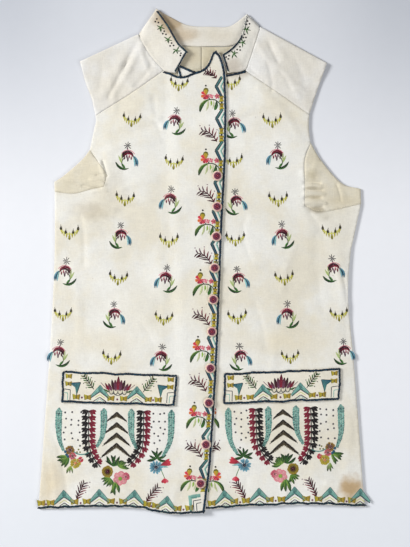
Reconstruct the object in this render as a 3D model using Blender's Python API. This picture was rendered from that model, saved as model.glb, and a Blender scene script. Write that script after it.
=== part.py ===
"""Embroidered waistcoat of the late eighteenth century, laid flat on its back with its front up.

The frame is metres with +Z up. +Y runs to the collar and +X to the wearer's left. The origin is
the middle of the bounding box's bottom, so the outside of the back rests on z = 0. The sizes in
the tables are millimetres. Right and left are the wearer's: the right front carries the buttons
and laps over the left front.
"""

import math

import bpy
from mathutils import Vector
from mathutils.geometry import delaunay_2d_cdt

# Driving sizes, in millimetres
MM = 0.001
SEAM_GAP = 0.3
LAP_GAP = 0.5
BACK_WALL = 1.2
FRONT_WALL = 1.4
LINING_WALL = 1.0
COLLAR_WALL = 1.5
FLAP_WALL = 1.4
FOLD_RADIUS = 1.8
LOFT = 2.6
LOFT_EASE = 40.0
LAP_RUN = 22.0
BACK_HEM = -331.0
LINING_LOW = 243.0
LINING_HALF = 60.0
BUTTON_RADIUS = 7.1

# Spacing of the mesh points, in millimetres
BACK_GRID = 30.0
FRONT_GRID = 18.0
SMALL_GRID = 15.0
LINE_STEP = 16.0

BACK_MID = BACK_WALL / 2
FRONT_MID = BACK_WALL + SEAM_GAP + FRONT_WALL / 2
LINING_MID = BACK_WALL + SEAM_GAP + LINING_WALL / 2
FOLD_ARC = math.pi * FOLD_RADIUS

# Seam and edge lines: name, then (x, y) along the line. A line runs smoothly through its points.
LINES = {
    "right_side": ((-202.6, 96), (-202.4, 79.3), (-202.3, 24), (-205, -53), (-210.6, -144), (-220.2, -279),
                   (-225.1, -341.5)),
    "right_hem": ((-225.1, -341.5), (-147, -338.4), (-94.7, -339.2), (-70.5, -343), (-38.8, -348.4),
                  (4.7, -345.7)),
    "right_edge": ((4.7, -345.7), (13, -279.4), (18.9, -192.5), (23.7, -101.4), (29.5, 53), (33.7, 130.4),
                   (34.8, 192.5), (33.7, 255), (29.4, 276), (25, 285.6), (19.4, 289.8)),
    "right_neck": ((19.4, 289.8), (14.6, 286), (10.6, 276), (3.3, 265.6), (-13.2, 258.8), (-29.8, 254.6),
                   (-51.9, 262.9)),
    "right_shoulder_seam": ((-51.9, 262.9), (-98, 231), (-146.4, 200.8)),
    "right_arm_front": ((-146.4, 200.8), (-145.7, 192.5), (-148.9, 178.7), (-154, 153.9)),
    "right_gusset_seam": ((-154, 153.9), (-142, 136.6), (-131.4, 119.4), (-134.4, 103)),
    "right_gusset_low": ((-134.4, 103), (-153, 99), (-176, 93.6), (-202.6, 96)),
    "right_gusset_side": ((-202.6, 96), (-203, 109.7)),
    "right_arm_low": ((-203, 109.7), (-188.5, 119.4), (-165, 140.1), (-154, 153.9)),
    "right_neck_side": ((-51.9, 262.9), (-71.2, 285), (-86.4, 311.2)),
    "right_arm_up": ((-167, 273.5), (-159.5, 244.9), (-151.9, 225.6), (-146.4, 200.8)),
    "left_side": ((220, 79.3), (209.8, 32.4), (205.3, 9), (202, -50.4), (210.3, -144.2), (224.9, -338.1)),
    "left_hem": ((224.9, -338.1), (164.1, -335.2), (127.5, -335.2), (61.3, -337.4), (8.8, -341.5),
                 (-5, -342.2)),
    "left_edge": ((-5, -342.2), (-16, -192.5), (-24.3, -24.1), (-28.4, 130.4), (-29.8, 236.7),
                  (-35.3, 272.5)),
    "left_neck": ((-35.3, 272.5), (-10.5, 262.2), (11.6, 256), (33.7, 257.4), (60.6, 262.5)),
    "left_shoulder_seam": ((60.6, 262.5), (104, 233.5), (148.6, 202.6)),
    "left_arm_front": ((148.6, 202.6), (147.7, 184.2), (150.3, 163.5)),
    "left_gusset_seam": ((150.3, 163.5), (142, 140), (142, 110), (142, 76.6)),
    "left_gusset_low": ((142, 76.6), (166.2, 68.3), (220, 79.3)),
    "left_gusset_side": ((220, 79.3), (219.3, 100)),
    "left_arm_low": ((219.3, 100), (192.4, 108.3), (164.8, 139.4), (150.3, 163.5)),
    "left_neck_side": ((60.6, 262.5), (69.6, 289.1), (79.9, 321.5)),
    "left_arm_up": ((172.2, 271.4), (157.9, 231.1), (148.6, 202.6)),
    "back_neck": ((-86.4, 311.2), (-71.2, 304.3), (-43.6, 298.1), (-4, 296.2), (42, 296.7), (64, 305.7),
                  (79.9, 321.5)),
}

# Where the shoulder folds over to the front: neck end and arm end of the fold line
SHOULDER_FOLDS = {
    "right": ((-86.4, 311.2), (-167.0, 273.5)),
    "left": ((79.9, 321.5), (172.2, 271.4)),
}

# Half width of the garment by height, used to ease the cloth down to its edges: y, half width
HALF_WIDTHS = ((-350, 226), (-280, 220), (-145, 211), (-50, 203), (85, 204), (112, 198), (150, 153),
               (350, 150))

# Soft forms of the lying cloth: from x, y to x, y, half width, height
RIDGES = (
    (-150, 70, -120, 150, 16, 1.1),
    (-185, 40, -120, -30, 26, 0.8),
    (-60, 250, -120, 175, 20, 0.9),
    (-110, 120, -60, 40, 30, 0.7),
    (-170, -230, -160, -320, 22, 1.0),
    (-80, -240, -70, -330, 26, 0.8),
    (-90, -60, -60, -130, 28, 0.6),
    (70, 250, 120, 180, 22, 0.9),
    (146, 150, 150, 80, 14, 1.1),
    (188, 10, 196, -60, 14, 1.4),
    (80, 120, 100, 20, 30, 0.7),
    (150, -230, 160, -320, 24, 0.9),
    (60, -230, 64, -330, 26, 0.7),
    (110, -40, 70, -120, 28, 0.6),
)

# The stand collar, folded at both tips: x, y, z on the neck seam, then x, y, z on the upper edge
COLLAR_RIGHT_HALF = (
    (-35.5, 260.5, 7.0, -19.2, 288.7, 7.8),
    (-50.6, 264.6, 5.4, -32.6, 302.9, 7.8),
    (-70.7, 285.3, 5.2, -45.0, 325.0, 7.0),
    (-83.6, 311.6, 4.8, -60.4, 346.4, 5.6),
)
COLLAR_RIGHT_FOLD = ((-85.0, 314.6, 2.9, -61.7, 348.3, 3.2),)
COLLAR_BACK = (
    (-82.2, 312.6, 0.9, -59.6, 346.6, 1.1),
    (-66.0, 304.4, 0.8, -46.0, 338.6, 0.9),
    (-20.1, 297.3, 0.8, -18.8, 325.7, 0.9),
    (15.0, 296.9, 0.8, 14.0, 323.6, 0.9),
    (46.0, 299.6, 0.8, 39.2, 324.5, 0.9),
    (75.4, 322.6, 0.9, 60.0, 338.8, 1.1),
)
COLLAR_LEFT_FOLD = ((78.4, 325.4, 2.9, 62.0, 340.6, 3.2),)
COLLAR_LEFT_HALF = (
    (76.6, 321.0, 4.8, 61.2, 337.4, 5.6),
    (68.0, 290.2, 5.2, 54.4, 310.4, 6.8),
    (58.8, 265.6, 5.4, 42.0, 294.6, 7.4),
    (35.4, 260.8, 5.6, 28.2, 284.2, 7.0),
)
COLLAR_ROWS = 4
COLLAR_SPAN = 4

# Pocket flaps: corners top outer, top inner, bottom inner, bottom outer
FLAPS = {
    "right": ((-191.7, -150.7), (-33.3, -156.2), (-36.4, -199.0), (-193.2, -194.2)),
    "left": ((30.9, -153.9), (191.8, -146.7), (190.3, -190.3), (29.5, -196.6)),
}

# Button centres down the right front: x, y
BUTTONS = (
    (21.8, 117.7), (21.3, 75.3), (20.3, 34.4), (17.9, -9.0), (16.0, -52.3),
    (14.1, -96.6), (12.1, -146.7), (9.8, -194.3), (5.9, -251.6), (-1.4, -305.1),
)
# Half section of a covered button: share of the radius, height
BUTTON_SECTION = ((0.78, 0.0), (0.95, 0.7), (1.0, 1.6), (0.92, 2.5), (0.72, 3.2), (0.4, 3.7))
BUTTON_TOP = 3.9
BUTTON_TURNS = 14

# Cloth finishes: colour (linear RGB), roughness
FINISHES = {
    "silk_worked_linen": ((0.78, 0.74, 0.62), 0.85),
    "plain_linen": ((0.70, 0.67, 0.58), 0.9),
    "coarse_linen": ((0.68, 0.62, 0.46), 0.92),
    "collar_linen": ((0.72, 0.67, 0.54), 0.88),
    "button_silk": ((0.20, 0.03, 0.06), 0.6),
}


def clear_scene():
    """Remove every object and every mesh left without a user."""
    for item in list(bpy.data.objects):
        bpy.data.objects.remove(item, do_unlink=True)


def smooth(share):
    """Ease a share between 0 and 1, and hold it outside them."""
    share = min(1.0, max(0.0, share))
    return share * share * (3.0 - 2.0 * share)


def interpolate(table, key):
    """Read the second column of a table sorted by its first."""
    if key <= table[0][0]:
        return table[0][1]
    for (low, first), (high, second) in zip(table, table[1:]):
        if key <= high:
            return first + (second - first) * (key - low) / (high - low)
    return table[-1][1]


def spline(points, spans):
    """Run a Catmull-Rom curve through points of any dimension, ends included."""
    rows = [Vector(point) for point in points]
    before = rows[0] * 2 - rows[1]
    after = rows[-1] * 2 - rows[-2]
    rows = [before] + rows + [after]
    curve = [rows[1]]
    for index in range(1, len(rows) - 2):
        first, second, third, fourth = rows[index - 1:index + 3]
        for part in range(1, spans[index - 1] + 1):
            t = part / spans[index - 1]
            curve.append(0.5 * (2 * second + (third - first) * t
                                + (2 * first - 5 * second + 4 * third - fourth) * t ** 2
                                + (3 * second - first - 3 * third + fourth) * t ** 3))
    return curve


def line(name):
    """Points of a named line; a leading minus turns it round."""
    points = LINES[name.lstrip("-")]
    spans = [max(1, round(math.dist(first, second) / LINE_STEP)) for first, second in zip(points, points[1:])]
    curve = spline(points, spans)
    return curve[::-1] if name.startswith("-") else curve


def outline(*names):
    """Join named lines, end to end, into one closed loop."""
    loop = []
    for name in names:
        loop += line(name)[:-1]
    return loop


def area(loop):
    """Signed area of a closed loop, positive when it runs anticlockwise."""
    return sum(a.x * b.y - b.x * a.y for a, b in zip(loop, loop[1:] + loop[:1])) / 2


def inset(loop, width):
    """Move a closed loop inwards by a width, mitred at its corners."""
    if area(loop) < 0:
        loop = loop[::-1]
    moved = []
    for before, point, after in zip(loop[-1:] + loop[:-1], loop, loop[1:] + loop[:1]):
        into = (point - before).normalized()
        out = (after - point).normalized()
        first = Vector((-into.y, into.x))
        second = Vector((-out.y, out.x))
        miter = first + second
        moved.append(point + miter * (width / max(0.4, miter.dot(first))))
    return moved


def edge_distance(point, loop):
    """Distance from a point to a closed loop, negative when the point is outside."""
    best = math.inf
    within = False
    for a, b in zip(loop, loop[1:] + loop[:1]):
        along = b - a
        share = max(0.0, min(1.0, (point - a).dot(along) / along.length_squared))
        best = min(best, (point - a - along * share).length)
        if (a.y > point.y) != (b.y > point.y) and point.x < a.x + (point.y - a.y) / along.y * along.x:
            within = not within
    return best if within else -best


def grid_points(loop, spacing, keep=lambda point: True):
    """Points of a square grid that lie well inside a loop."""
    low_x, high_x = min(p.x for p in loop), max(p.x for p in loop)
    low_y, high_y = min(p.y for p in loop), max(p.y for p in loop)
    points = []
    for column in range(1, int((high_x - low_x) / spacing) + 1):
        for row in range(1, int((high_y - low_y) / spacing) + 1):
            point = Vector((low_x + column * spacing, low_y + row * spacing))
            if keep(point) and edge_distance(point, loop) > spacing * 0.45:
                points.append(point)
    return points


def panel_mesh(loop, inner):
    """Triangles of a flat panel: its points and faces of three point numbers."""
    count = len(loop)
    edges = [(index, (index + 1) % count) for index in range(count)]
    points, _, faces, _, _, _ = delaunay_2d_cdt(loop + inner, edges, [], 1, 1e-5)
    return points, faces


def finish(name):
    """The Principled material of one cloth."""
    material = bpy.data.materials.get(name) or bpy.data.materials.new(name)
    material.use_nodes = True
    shader = material.node_tree.nodes["Principled BSDF"]
    colour, roughness = FINISHES[name]
    shader.inputs["Base Color"].default_value = (*colour, 1.0)
    shader.inputs["Roughness"].default_value = roughness
    shader.inputs["Metallic"].default_value = 0.0
    return material


def add_object(name, verts, faces, cloth, sharp_angle=50.0):
    """Make one named object from points in millimetres, shaded smooth but for its rim."""
    mesh = bpy.data.meshes.new(name)
    mesh.from_pydata([tuple(v * MM) for v in verts], [], faces)
    mesh.validate()
    mesh.shade_smooth()
    mesh.set_sharp_from_angle(angle=math.radians(sharp_angle))
    mesh.materials.append(finish(cloth))
    item = bpy.data.objects.new(name, mesh)
    bpy.context.scene.collection.objects.link(item)
    return item


def closed_sheet(name, middles, normals, faces, wall, cloth):
    """Give a sheet of cloth its thickness and close it along its rim."""
    count = len(middles)
    verts = [m + n * (wall / 2) for m, n in zip(middles, normals)]
    verts += [m - n * (wall / 2) for m, n in zip(middles, normals)]
    shell = [tuple(face) for face in faces]
    shell += [tuple(corner + count for corner in reversed(face)) for face in faces]
    directed = set()
    for face in faces:
        directed.update(zip(face, face[1:] + face[:1]))
    for start, end in directed:
        if (end, start) not in directed:
            shell.append((end, start, start + count, end + count))
    return add_object(name, verts, shell, cloth)


def height_normal(height, x, y, step=1.0):
    """Upward normal of a height function."""
    slope_x = (height(x + step, y) - height(x - step, y)) / (2 * step)
    slope_y = (height(x, y + step) - height(x, y - step)) / (2 * step)
    return Vector((-slope_x, -slope_y, 1.0)).normalized()


def lying_panel(name, loop, height, wall, cloth, spacing):
    """A cut piece that lies face up over the height function of its middle surface."""
    loop = inset(loop, SEAM_GAP / 2)
    points, faces = panel_mesh(loop, grid_points(loop, spacing))
    middles = [Vector((p.x, p.y, height(p.x, p.y))) for p in points]
    normals = [height_normal(height, p.x, p.y) for p in points]
    return closed_sheet(name, middles, normals, [list(face) for face in faces], wall, cloth)


def ridge_height(x, y, ridge):
    """Height of one soft form at a place."""
    start = Vector(ridge[0:2])
    along = Vector(ridge[2:4]) - start
    place = Vector((x, y))
    share = max(0.0, min(1.0, (place - start).dot(along) / along.length_squared))
    distance = (place - start - along * share).length
    return ridge[5] * math.exp(-(distance / ridge[4]) ** 2)


def front_height(x, y):
    """Middle surface of the fronts where only the back lies below them."""
    room = max(0.0, interpolate(HALF_WIDTHS, y) - abs(x))
    loft = LOFT * (1.0 - math.exp(-room / LOFT_EASE))
    return FRONT_MID + loft + sum(ridge_height(x, y, ridge) for ridge in RIDGES)


def lap_height(x, y):
    """Middle surface of the right front, which climbs over the hidden edge of the left front."""
    hidden = sorted((point[1], point[0]) for point in LINES["left_edge"])
    climb = smooth((x - interpolate(hidden, y) + LAP_RUN) / (LAP_RUN - 2.0))
    return front_height(x, y) + (FRONT_WALL + LAP_GAP) * climb


def fold_axes(side):
    """Neck end, direction to the arm end, outward normal and length of a shoulder's fold line."""
    neck, arm = (Vector(point) for point in SHOULDER_FOLDS[side])
    along = (arm - neck).normalized()
    outward = Vector((along.y, -along.x))
    if outward.y < 0:
        outward = -outward
    return neck, along, outward, (arm - neck).length


def unfolded(side, points):
    """Turn points of the shoulder piece, as it lies on the front, back to the flat cut of the back."""
    neck, along, outward, _ = fold_axes(side)
    flat = []
    for point in points:
        away = max(0.0, (neck - point).dot(outward))
        flat.append(neck + along * (point - neck).dot(along) + outward * (away + FOLD_ARC))
    return flat


def bend_rows(side, near_end):
    """Points over the bend of a shoulder, from the back to the front, at one end of the fold line."""
    neck, along, outward, length = fold_axes(side)
    start = neck if near_end else neck + along * length
    return [start + outward * (FOLD_ARC * part / 4) for part in range(1, 4)]


def back_loop():
    """Flat cut of the back with both of its shoulder pieces unfolded."""
    left_arm = line("left_arm_low") + line("-left_arm_front")[1:] + line("-left_arm_up")[1:]
    left_shoulder = line("left_arm_up") + line("-left_shoulder_seam")[1:] + line("left_neck_side")[1:]
    right_shoulder = line("-right_neck_side") + line("right_shoulder_seam")[1:] + line("-right_arm_up")[1:]
    right_arm = line("right_arm_up") + line("right_arm_front")[1:] + line("-right_arm_low")[1:]
    left_side = [p for p in line("-left_side") if p.y > BACK_HEM + 6]
    right_side = [p for p in line("right_side") if p.y > BACK_HEM + 6]
    loop = [Vector((-224.3, BACK_HEM)), Vector((0.0, BACK_HEM)), Vector((224.3, BACK_HEM))]
    loop += left_side[:-1] + line("left_gusset_side")[:-1] + left_arm
    loop += bend_rows("left", False) + unfolded("left", left_shoulder) + bend_rows("left", True)[::-1]
    loop += line("-back_neck")
    loop += bend_rows("right", True) + unfolded("right", right_shoulder) + bend_rows("right", False)[::-1]
    loop += right_arm + line("-right_gusset_side")[1:] + right_side[1:]
    return loop


def back_place(point):
    """Put one point of the flat back in place: its middle and its normal."""
    for side in SHOULDER_FOLDS:
        neck, along, outward, _ = fold_axes(side)
        past = (point - neck).dot(outward)
        if past <= 1e-6:
            continue
        foot = neck + along * (point - neck).dot(along)
        if past < FOLD_ARC:
            turn = past / FOLD_RADIUS
            spot = foot + outward * (FOLD_RADIUS * math.sin(turn))
            lift = BACK_MID + FOLD_RADIUS * (1.0 - math.cos(turn))
            normal = Vector((*(-outward * math.sin(turn)), math.cos(turn)))
            return Vector((spot.x, spot.y, lift)), normal
        behind = past - FOLD_ARC
        spot = foot - outward * behind
        low = BACK_MID + 2 * FOLD_RADIUS
        lift = low + (front_height(spot.x, spot.y) - low) * smooth(behind / 30.0)
        return Vector((spot.x, spot.y, lift)), -height_normal(front_height, spot.x, spot.y) if behind > 30.0 \
            else Vector((0.0, 0.0, -1.0))
    return Vector((point.x, point.y, BACK_MID)), Vector((0.0, 0.0, 1.0))


def make_back():
    """The back: one wide piece whose shoulders fold over to the front."""
    loop = inset(back_loop(), SEAM_GAP / 2)
    folds = [fold_axes(side) for side in SHOULDER_FOLDS]

    def off_the_bend(point):
        return all(not -8.0 < (point - neck).dot(outward) < FOLD_ARC + 8.0 for neck, _, outward, _ in folds)

    inner = grid_points(loop, BACK_GRID, off_the_bend)
    for neck, along, outward, length in folds:
        for part in range(5):
            for step in range(1, int(length / FRONT_GRID)):
                inner.append(neck + along * (step * FRONT_GRID) + outward * (FOLD_ARC * part / 4))
    points, faces = panel_mesh(loop, inner)
    placed = [back_place(point) for point in points]
    middles = [middle for middle, _ in placed]
    normals = [normal for _, normal in placed]
    closed_sheet("back", middles, normals, [list(face) for face in faces], BACK_WALL, "plain_linen")


def make_fronts():
    """The two embroidered fronts."""
    right = outline("right_side", "right_hem", "right_edge", "right_neck", "right_shoulder_seam",
                    "right_arm_front", "right_gusset_seam", "right_gusset_low")
    left = outline("left_side", "left_hem", "left_edge", "left_neck", "left_shoulder_seam",
                   "left_arm_front", "left_gusset_seam", "left_gusset_low")
    lying_panel("front_right", right, lap_height, FRONT_WALL, "silk_worked_linen", FRONT_GRID)
    lying_panel("front_left", left, front_height, FRONT_WALL, "silk_worked_linen", FRONT_GRID)


def make_gussets():
    """The plain pieces let in under the arms."""
    for side in ("right", "left"):
        loop = outline(f"{side}_gusset_seam", f"{side}_gusset_low", f"{side}_gusset_side", f"{side}_arm_low")
        lying_panel(f"underarm_{side}", loop, front_height, BACK_WALL, "coarse_linen", SMALL_GRID)


def make_back_lining():
    """The two halves of the back lining, as far as the neck shows them."""
    neck = [point for point in line("back_neck") if abs(point.x) < LINING_HALF]
    right = [point for point in neck if point.x < -1] + [Vector((0.0, 296.2))]
    left = [Vector((0.0, 296.2))] + [point for point in neck if point.x > 1]
    right += [Vector((0.0, LINING_LOW)), Vector((-LINING_HALF, LINING_LOW)), Vector((-LINING_HALF, 300.0))]
    left += [Vector((LINING_HALF, 301.0)), Vector((LINING_HALF, LINING_LOW)), Vector((0.0, LINING_LOW))]
    for side, loop in (("right", right), ("left", left)):
        lying_panel(f"back_lining_{side}", loop, lambda x, y: LINING_MID, LINING_WALL, "collar_linen",
                    BACK_GRID)


def make_collar():
    """The stand collar, one band that folds over at both tips."""
    columns = []
    for run in (COLLAR_RIGHT_HALF, COLLAR_RIGHT_FOLD, COLLAR_BACK, COLLAR_LEFT_FOLD, COLLAR_LEFT_HALF):
        rows = [Vector(row) for row in run]
        columns += rows if len(rows) == 1 else spline(rows, [COLLAR_SPAN] * (len(rows) - 1))
    middles = []
    for column in columns:
        seam = Vector(column[0:3])
        edge = Vector(column[3:6])
        middles += [seam.lerp(edge, row / COLLAR_ROWS) for row in range(COLLAR_ROWS + 1)]
    width = COLLAR_ROWS + 1
    faces = []
    for column in range(len(columns) - 1):
        for row in range(COLLAR_ROWS):
            corner = column * width + row
            faces.append([corner, corner + 1, corner + width])
            faces.append([corner + 1, corner + width + 1, corner + width])
    normals = [Vector() for _ in middles]
    for a, b, c in faces:
        across = (middles[b] - middles[a]).cross(middles[c] - middles[a])
        for corner in (a, b, c):
            normals[corner] += across
    closed_sheet("collar", middles, [n.normalized() for n in normals], faces, COLLAR_WALL, "collar_linen")


def make_flaps():
    """The pocket flaps, each lying on its front."""
    stack = (FRONT_WALL + FLAP_WALL) / 2 + LAP_GAP
    for side, height in (("right", lap_height), ("left", front_height)):
        corners = [Vector(corner) for corner in FLAPS[side]]
        loop = []
        for start, end in zip(corners, corners[1:] + corners[:1]):
            steps = max(2, round((end - start).length / SMALL_GRID))
            loop += [start.lerp(end, step / steps) for step in range(steps)]
        lying_panel(f"pocket_flap_{side}", loop, lambda x, y, low=height: low(x, y) + stack,
                    FLAP_WALL, "silk_worked_linen", SMALL_GRID)


def make_buttons():
    """The covered buttons, each a low dome with a flat underside on the right front."""
    for number, (x, y) in enumerate(BUTTONS, start=1):
        up = height_normal(lap_height, x, y, BUTTON_RADIUS)
        seat = Vector((x, y, lap_height(x, y))) + up * (FRONT_WALL / 2 + LAP_GAP)
        side = up.cross(Vector((0.0, 1.0, 0.0))).normalized()
        ahead = up.cross(side)
        verts = []
        for share, rise in BUTTON_SECTION:
            for turn in range(BUTTON_TURNS):
                angle = 2 * math.pi * turn / BUTTON_TURNS
                spoke = side * math.cos(angle) + ahead * math.sin(angle)
                verts.append(seat + spoke * (share * BUTTON_RADIUS) + up * rise)
        faces = [list(range(BUTTON_TURNS))[::-1]]
        for ring in range(len(BUTTON_SECTION) - 1):
            for turn in range(BUTTON_TURNS):
                low = ring * BUTTON_TURNS
                after = (turn + 1) % BUTTON_TURNS
                faces.append([low + turn, low + after, low + BUTTON_TURNS + after, low + BUTTON_TURNS + turn])
        top = (len(BUTTON_SECTION) - 1) * BUTTON_TURNS
        verts.append(seat + up * BUTTON_TOP)
        for turn in range(BUTTON_TURNS):
            faces.append([top + turn, top + (turn + 1) % BUTTON_TURNS, len(verts) - 1])
        add_object(f"button_{number:02d}", verts, faces, "button_silk")


def main():
    """Build the whole waistcoat."""
    clear_scene()
    make_back()
    make_fronts()
    make_gussets()
    make_back_lining()
    make_collar()
    make_flaps()
    make_buttons()


main()
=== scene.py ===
"""Looks of an embroidered linen waistcoat of about 1790, laid flat with its front up.

Sizes in the tables are millimetres, +Y to the collar and +X to the wearer's left. Right and left
are the wearer's: the right front carries the buttons and laps over the left front.
"""

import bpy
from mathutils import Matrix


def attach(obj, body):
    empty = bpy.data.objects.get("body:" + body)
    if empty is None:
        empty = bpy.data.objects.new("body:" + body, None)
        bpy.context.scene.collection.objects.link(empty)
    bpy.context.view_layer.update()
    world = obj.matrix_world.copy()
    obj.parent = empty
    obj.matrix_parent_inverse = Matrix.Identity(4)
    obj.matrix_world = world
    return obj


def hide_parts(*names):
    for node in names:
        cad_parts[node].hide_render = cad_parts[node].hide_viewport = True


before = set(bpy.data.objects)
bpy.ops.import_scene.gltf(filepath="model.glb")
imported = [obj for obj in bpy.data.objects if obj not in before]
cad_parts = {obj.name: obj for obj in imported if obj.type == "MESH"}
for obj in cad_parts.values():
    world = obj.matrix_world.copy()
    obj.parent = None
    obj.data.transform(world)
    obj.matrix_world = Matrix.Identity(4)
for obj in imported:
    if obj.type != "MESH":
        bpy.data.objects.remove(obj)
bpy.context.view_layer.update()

import logging
import math
import random
from dataclasses import dataclass, field
from enum import Enum
from typing import Callable, Iterable, Sequence

import bpy
import numpy as np
from mathutils import Vector
from mathutils.bvhtree import BVHTree
from mathutils.geometry import delaunay_2d_cdt

LOG = logging.getLogger("waistcoat")
MM = 0.001
TAU = 2.0 * math.pi

Spot = tuple[float, float]
Colour = tuple[float, float, float]
Height = Callable[[np.ndarray, np.ndarray], np.ndarray]

# Cut and stack of the cloth, in millimetres, the same as the solids
SEAM_GAP = 0.3
LAP_GAP = 0.5
BACK_WALL = 1.2
FRONT_WALL = 1.4
LINING_WALL = 1.0
COLLAR_WALL = 1.5
FLAP_WALL = 1.4
FOLD_RADIUS = 1.8
LOFT = 2.6
LOFT_EASE = 40.0
LAP_RUN = 22.0
BACK_HEM = -331.0
LINING_LOW = 243.0
LINING_HALF = 60.0
BACK_MID = BACK_WALL / 2
FRONT_MID = BACK_WALL + SEAM_GAP + FRONT_WALL / 2
LINING_MID = BACK_WALL + SEAM_GAP + LINING_WALL / 2
FOLD_ARC = math.pi * FOLD_RADIUS
EDGE_ROUND = 0.16
SEAM_OPEN = 0.01

CLOTH_GRID = 2.6
HIDDEN_GRID = 6.0
FINER = 0.55
LINE_STEP = 2.6

# Seam and edge lines: name, then x, y along the line
LINES: dict[str, tuple[Spot, ...]] = {
    "right_side": ((-202.6, 96), (-202.4, 79.3), (-202.3, 24), (-205, -53), (-210.6, -144), (-220.2, -279),
                   (-225.1, -341.5)),
    "right_hem": ((-225.1, -341.5), (-147, -338.4), (-94.7, -339.2), (-70.5, -343), (-38.8, -348.4),
                  (4.7, -345.7)),
    "right_edge": ((4.7, -345.7), (13, -279.4), (18.9, -192.5), (23.7, -101.4), (29.5, 53), (33.7, 130.4),
                   (34.8, 192.5), (33.7, 255), (29.4, 276), (25, 285.6), (19.4, 289.8)),
    "right_neck": ((19.4, 289.8), (14.6, 286), (10.6, 276), (3.3, 265.6), (-13.2, 258.8), (-29.8, 254.6),
                   (-51.9, 262.9)),
    "right_shoulder_seam": ((-51.9, 262.9), (-98, 231), (-146.4, 200.8)),
    "right_arm_front": ((-146.4, 200.8), (-145.7, 192.5), (-148.9, 178.7), (-154, 153.9)),
    "right_gusset_seam": ((-154, 153.9), (-142, 136.6), (-131.4, 119.4), (-134.4, 103)),
    "right_gusset_low": ((-134.4, 103), (-153, 99), (-176, 93.6), (-202.6, 96)),
    "right_gusset_side": ((-202.6, 96), (-203, 109.7)),
    "right_arm_low": ((-203, 109.7), (-188.5, 119.4), (-165, 140.1), (-154, 153.9)),
    "right_neck_side": ((-51.9, 262.9), (-71.2, 285), (-86.4, 311.2)),
    "right_arm_up": ((-167, 273.5), (-159.5, 244.9), (-151.9, 225.6), (-146.4, 200.8)),
    "left_side": ((220, 79.3), (209.8, 32.4), (205.3, 9), (202, -50.4), (210.3, -144.2), (224.9, -338.1)),
    "left_hem": ((224.9, -338.1), (164.1, -335.2), (127.5, -335.2), (61.3, -337.4), (8.8, -341.5),
                 (-5, -342.2)),
    "left_edge": ((-5, -342.2), (-16, -192.5), (-24.3, -24.1), (-28.4, 130.4), (-29.8, 236.7),
                  (-35.3, 272.5)),
    "left_neck": ((-35.3, 272.5), (-10.5, 262.2), (11.6, 256), (33.7, 257.4), (60.6, 262.5)),
    "left_shoulder_seam": ((60.6, 262.5), (104, 233.5), (148.6, 202.6)),
    "left_arm_front": ((148.6, 202.6), (147.7, 184.2), (150.3, 163.5)),
    "left_gusset_seam": ((150.3, 163.5), (142, 140), (142, 110), (142, 76.6)),
    "left_gusset_low": ((142, 76.6), (166.2, 68.3), (220, 79.3)),
    "left_gusset_side": ((220, 79.3), (219.3, 100)),
    "left_arm_low": ((219.3, 100), (192.4, 108.3), (164.8, 139.4), (150.3, 163.5)),
    "left_neck_side": ((60.6, 262.5), (69.6, 289.1), (79.9, 321.5)),
    "left_arm_up": ((172.2, 271.4), (157.9, 231.1), (148.6, 202.6)),
    "back_neck": ((-86.4, 311.2), (-71.2, 304.3), (-43.6, 298.1), (-4, 296.2), (42, 296.7), (64, 305.7),
                  (79.9, 321.5)),
}
SHOULDER_FOLDS = {"right": ((-86.4, 311.2), (-167.0, 273.5)), "left": ((79.9, 321.5), (172.2, 271.4))}
HALF_WIDTHS = ((-350, 226), (-280, 220), (-145, 211), (-50, 203), (85, 204), (112, 198), (150, 153),
               (350, 150))

# Soft forms of the lying cloth: from x, y to x, y, half width, height
RIDGES = (
    (-150, 70, -120, 150, 16, 1.1), (-185, 40, -120, -30, 26, 0.8), (-60, 250, -120, 175, 20, 0.9),
    (-110, 120, -60, 40, 30, 0.7), (-170, -230, -160, -320, 22, 1.0), (-80, -240, -70, -330, 26, 0.8),
    (-90, -60, -60, -130, 28, 0.6), (70, 250, 120, 180, 22, 0.9), (146, 150, 150, 80, 14, 1.1),
    (188, 10, 196, -60, 14, 1.4), (80, 120, 100, 20, 30, 0.7), (150, -230, 160, -320, 24, 0.9),
    (60, -230, 64, -330, 26, 0.7), (110, -40, 70, -120, 28, 0.6),
)

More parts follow.
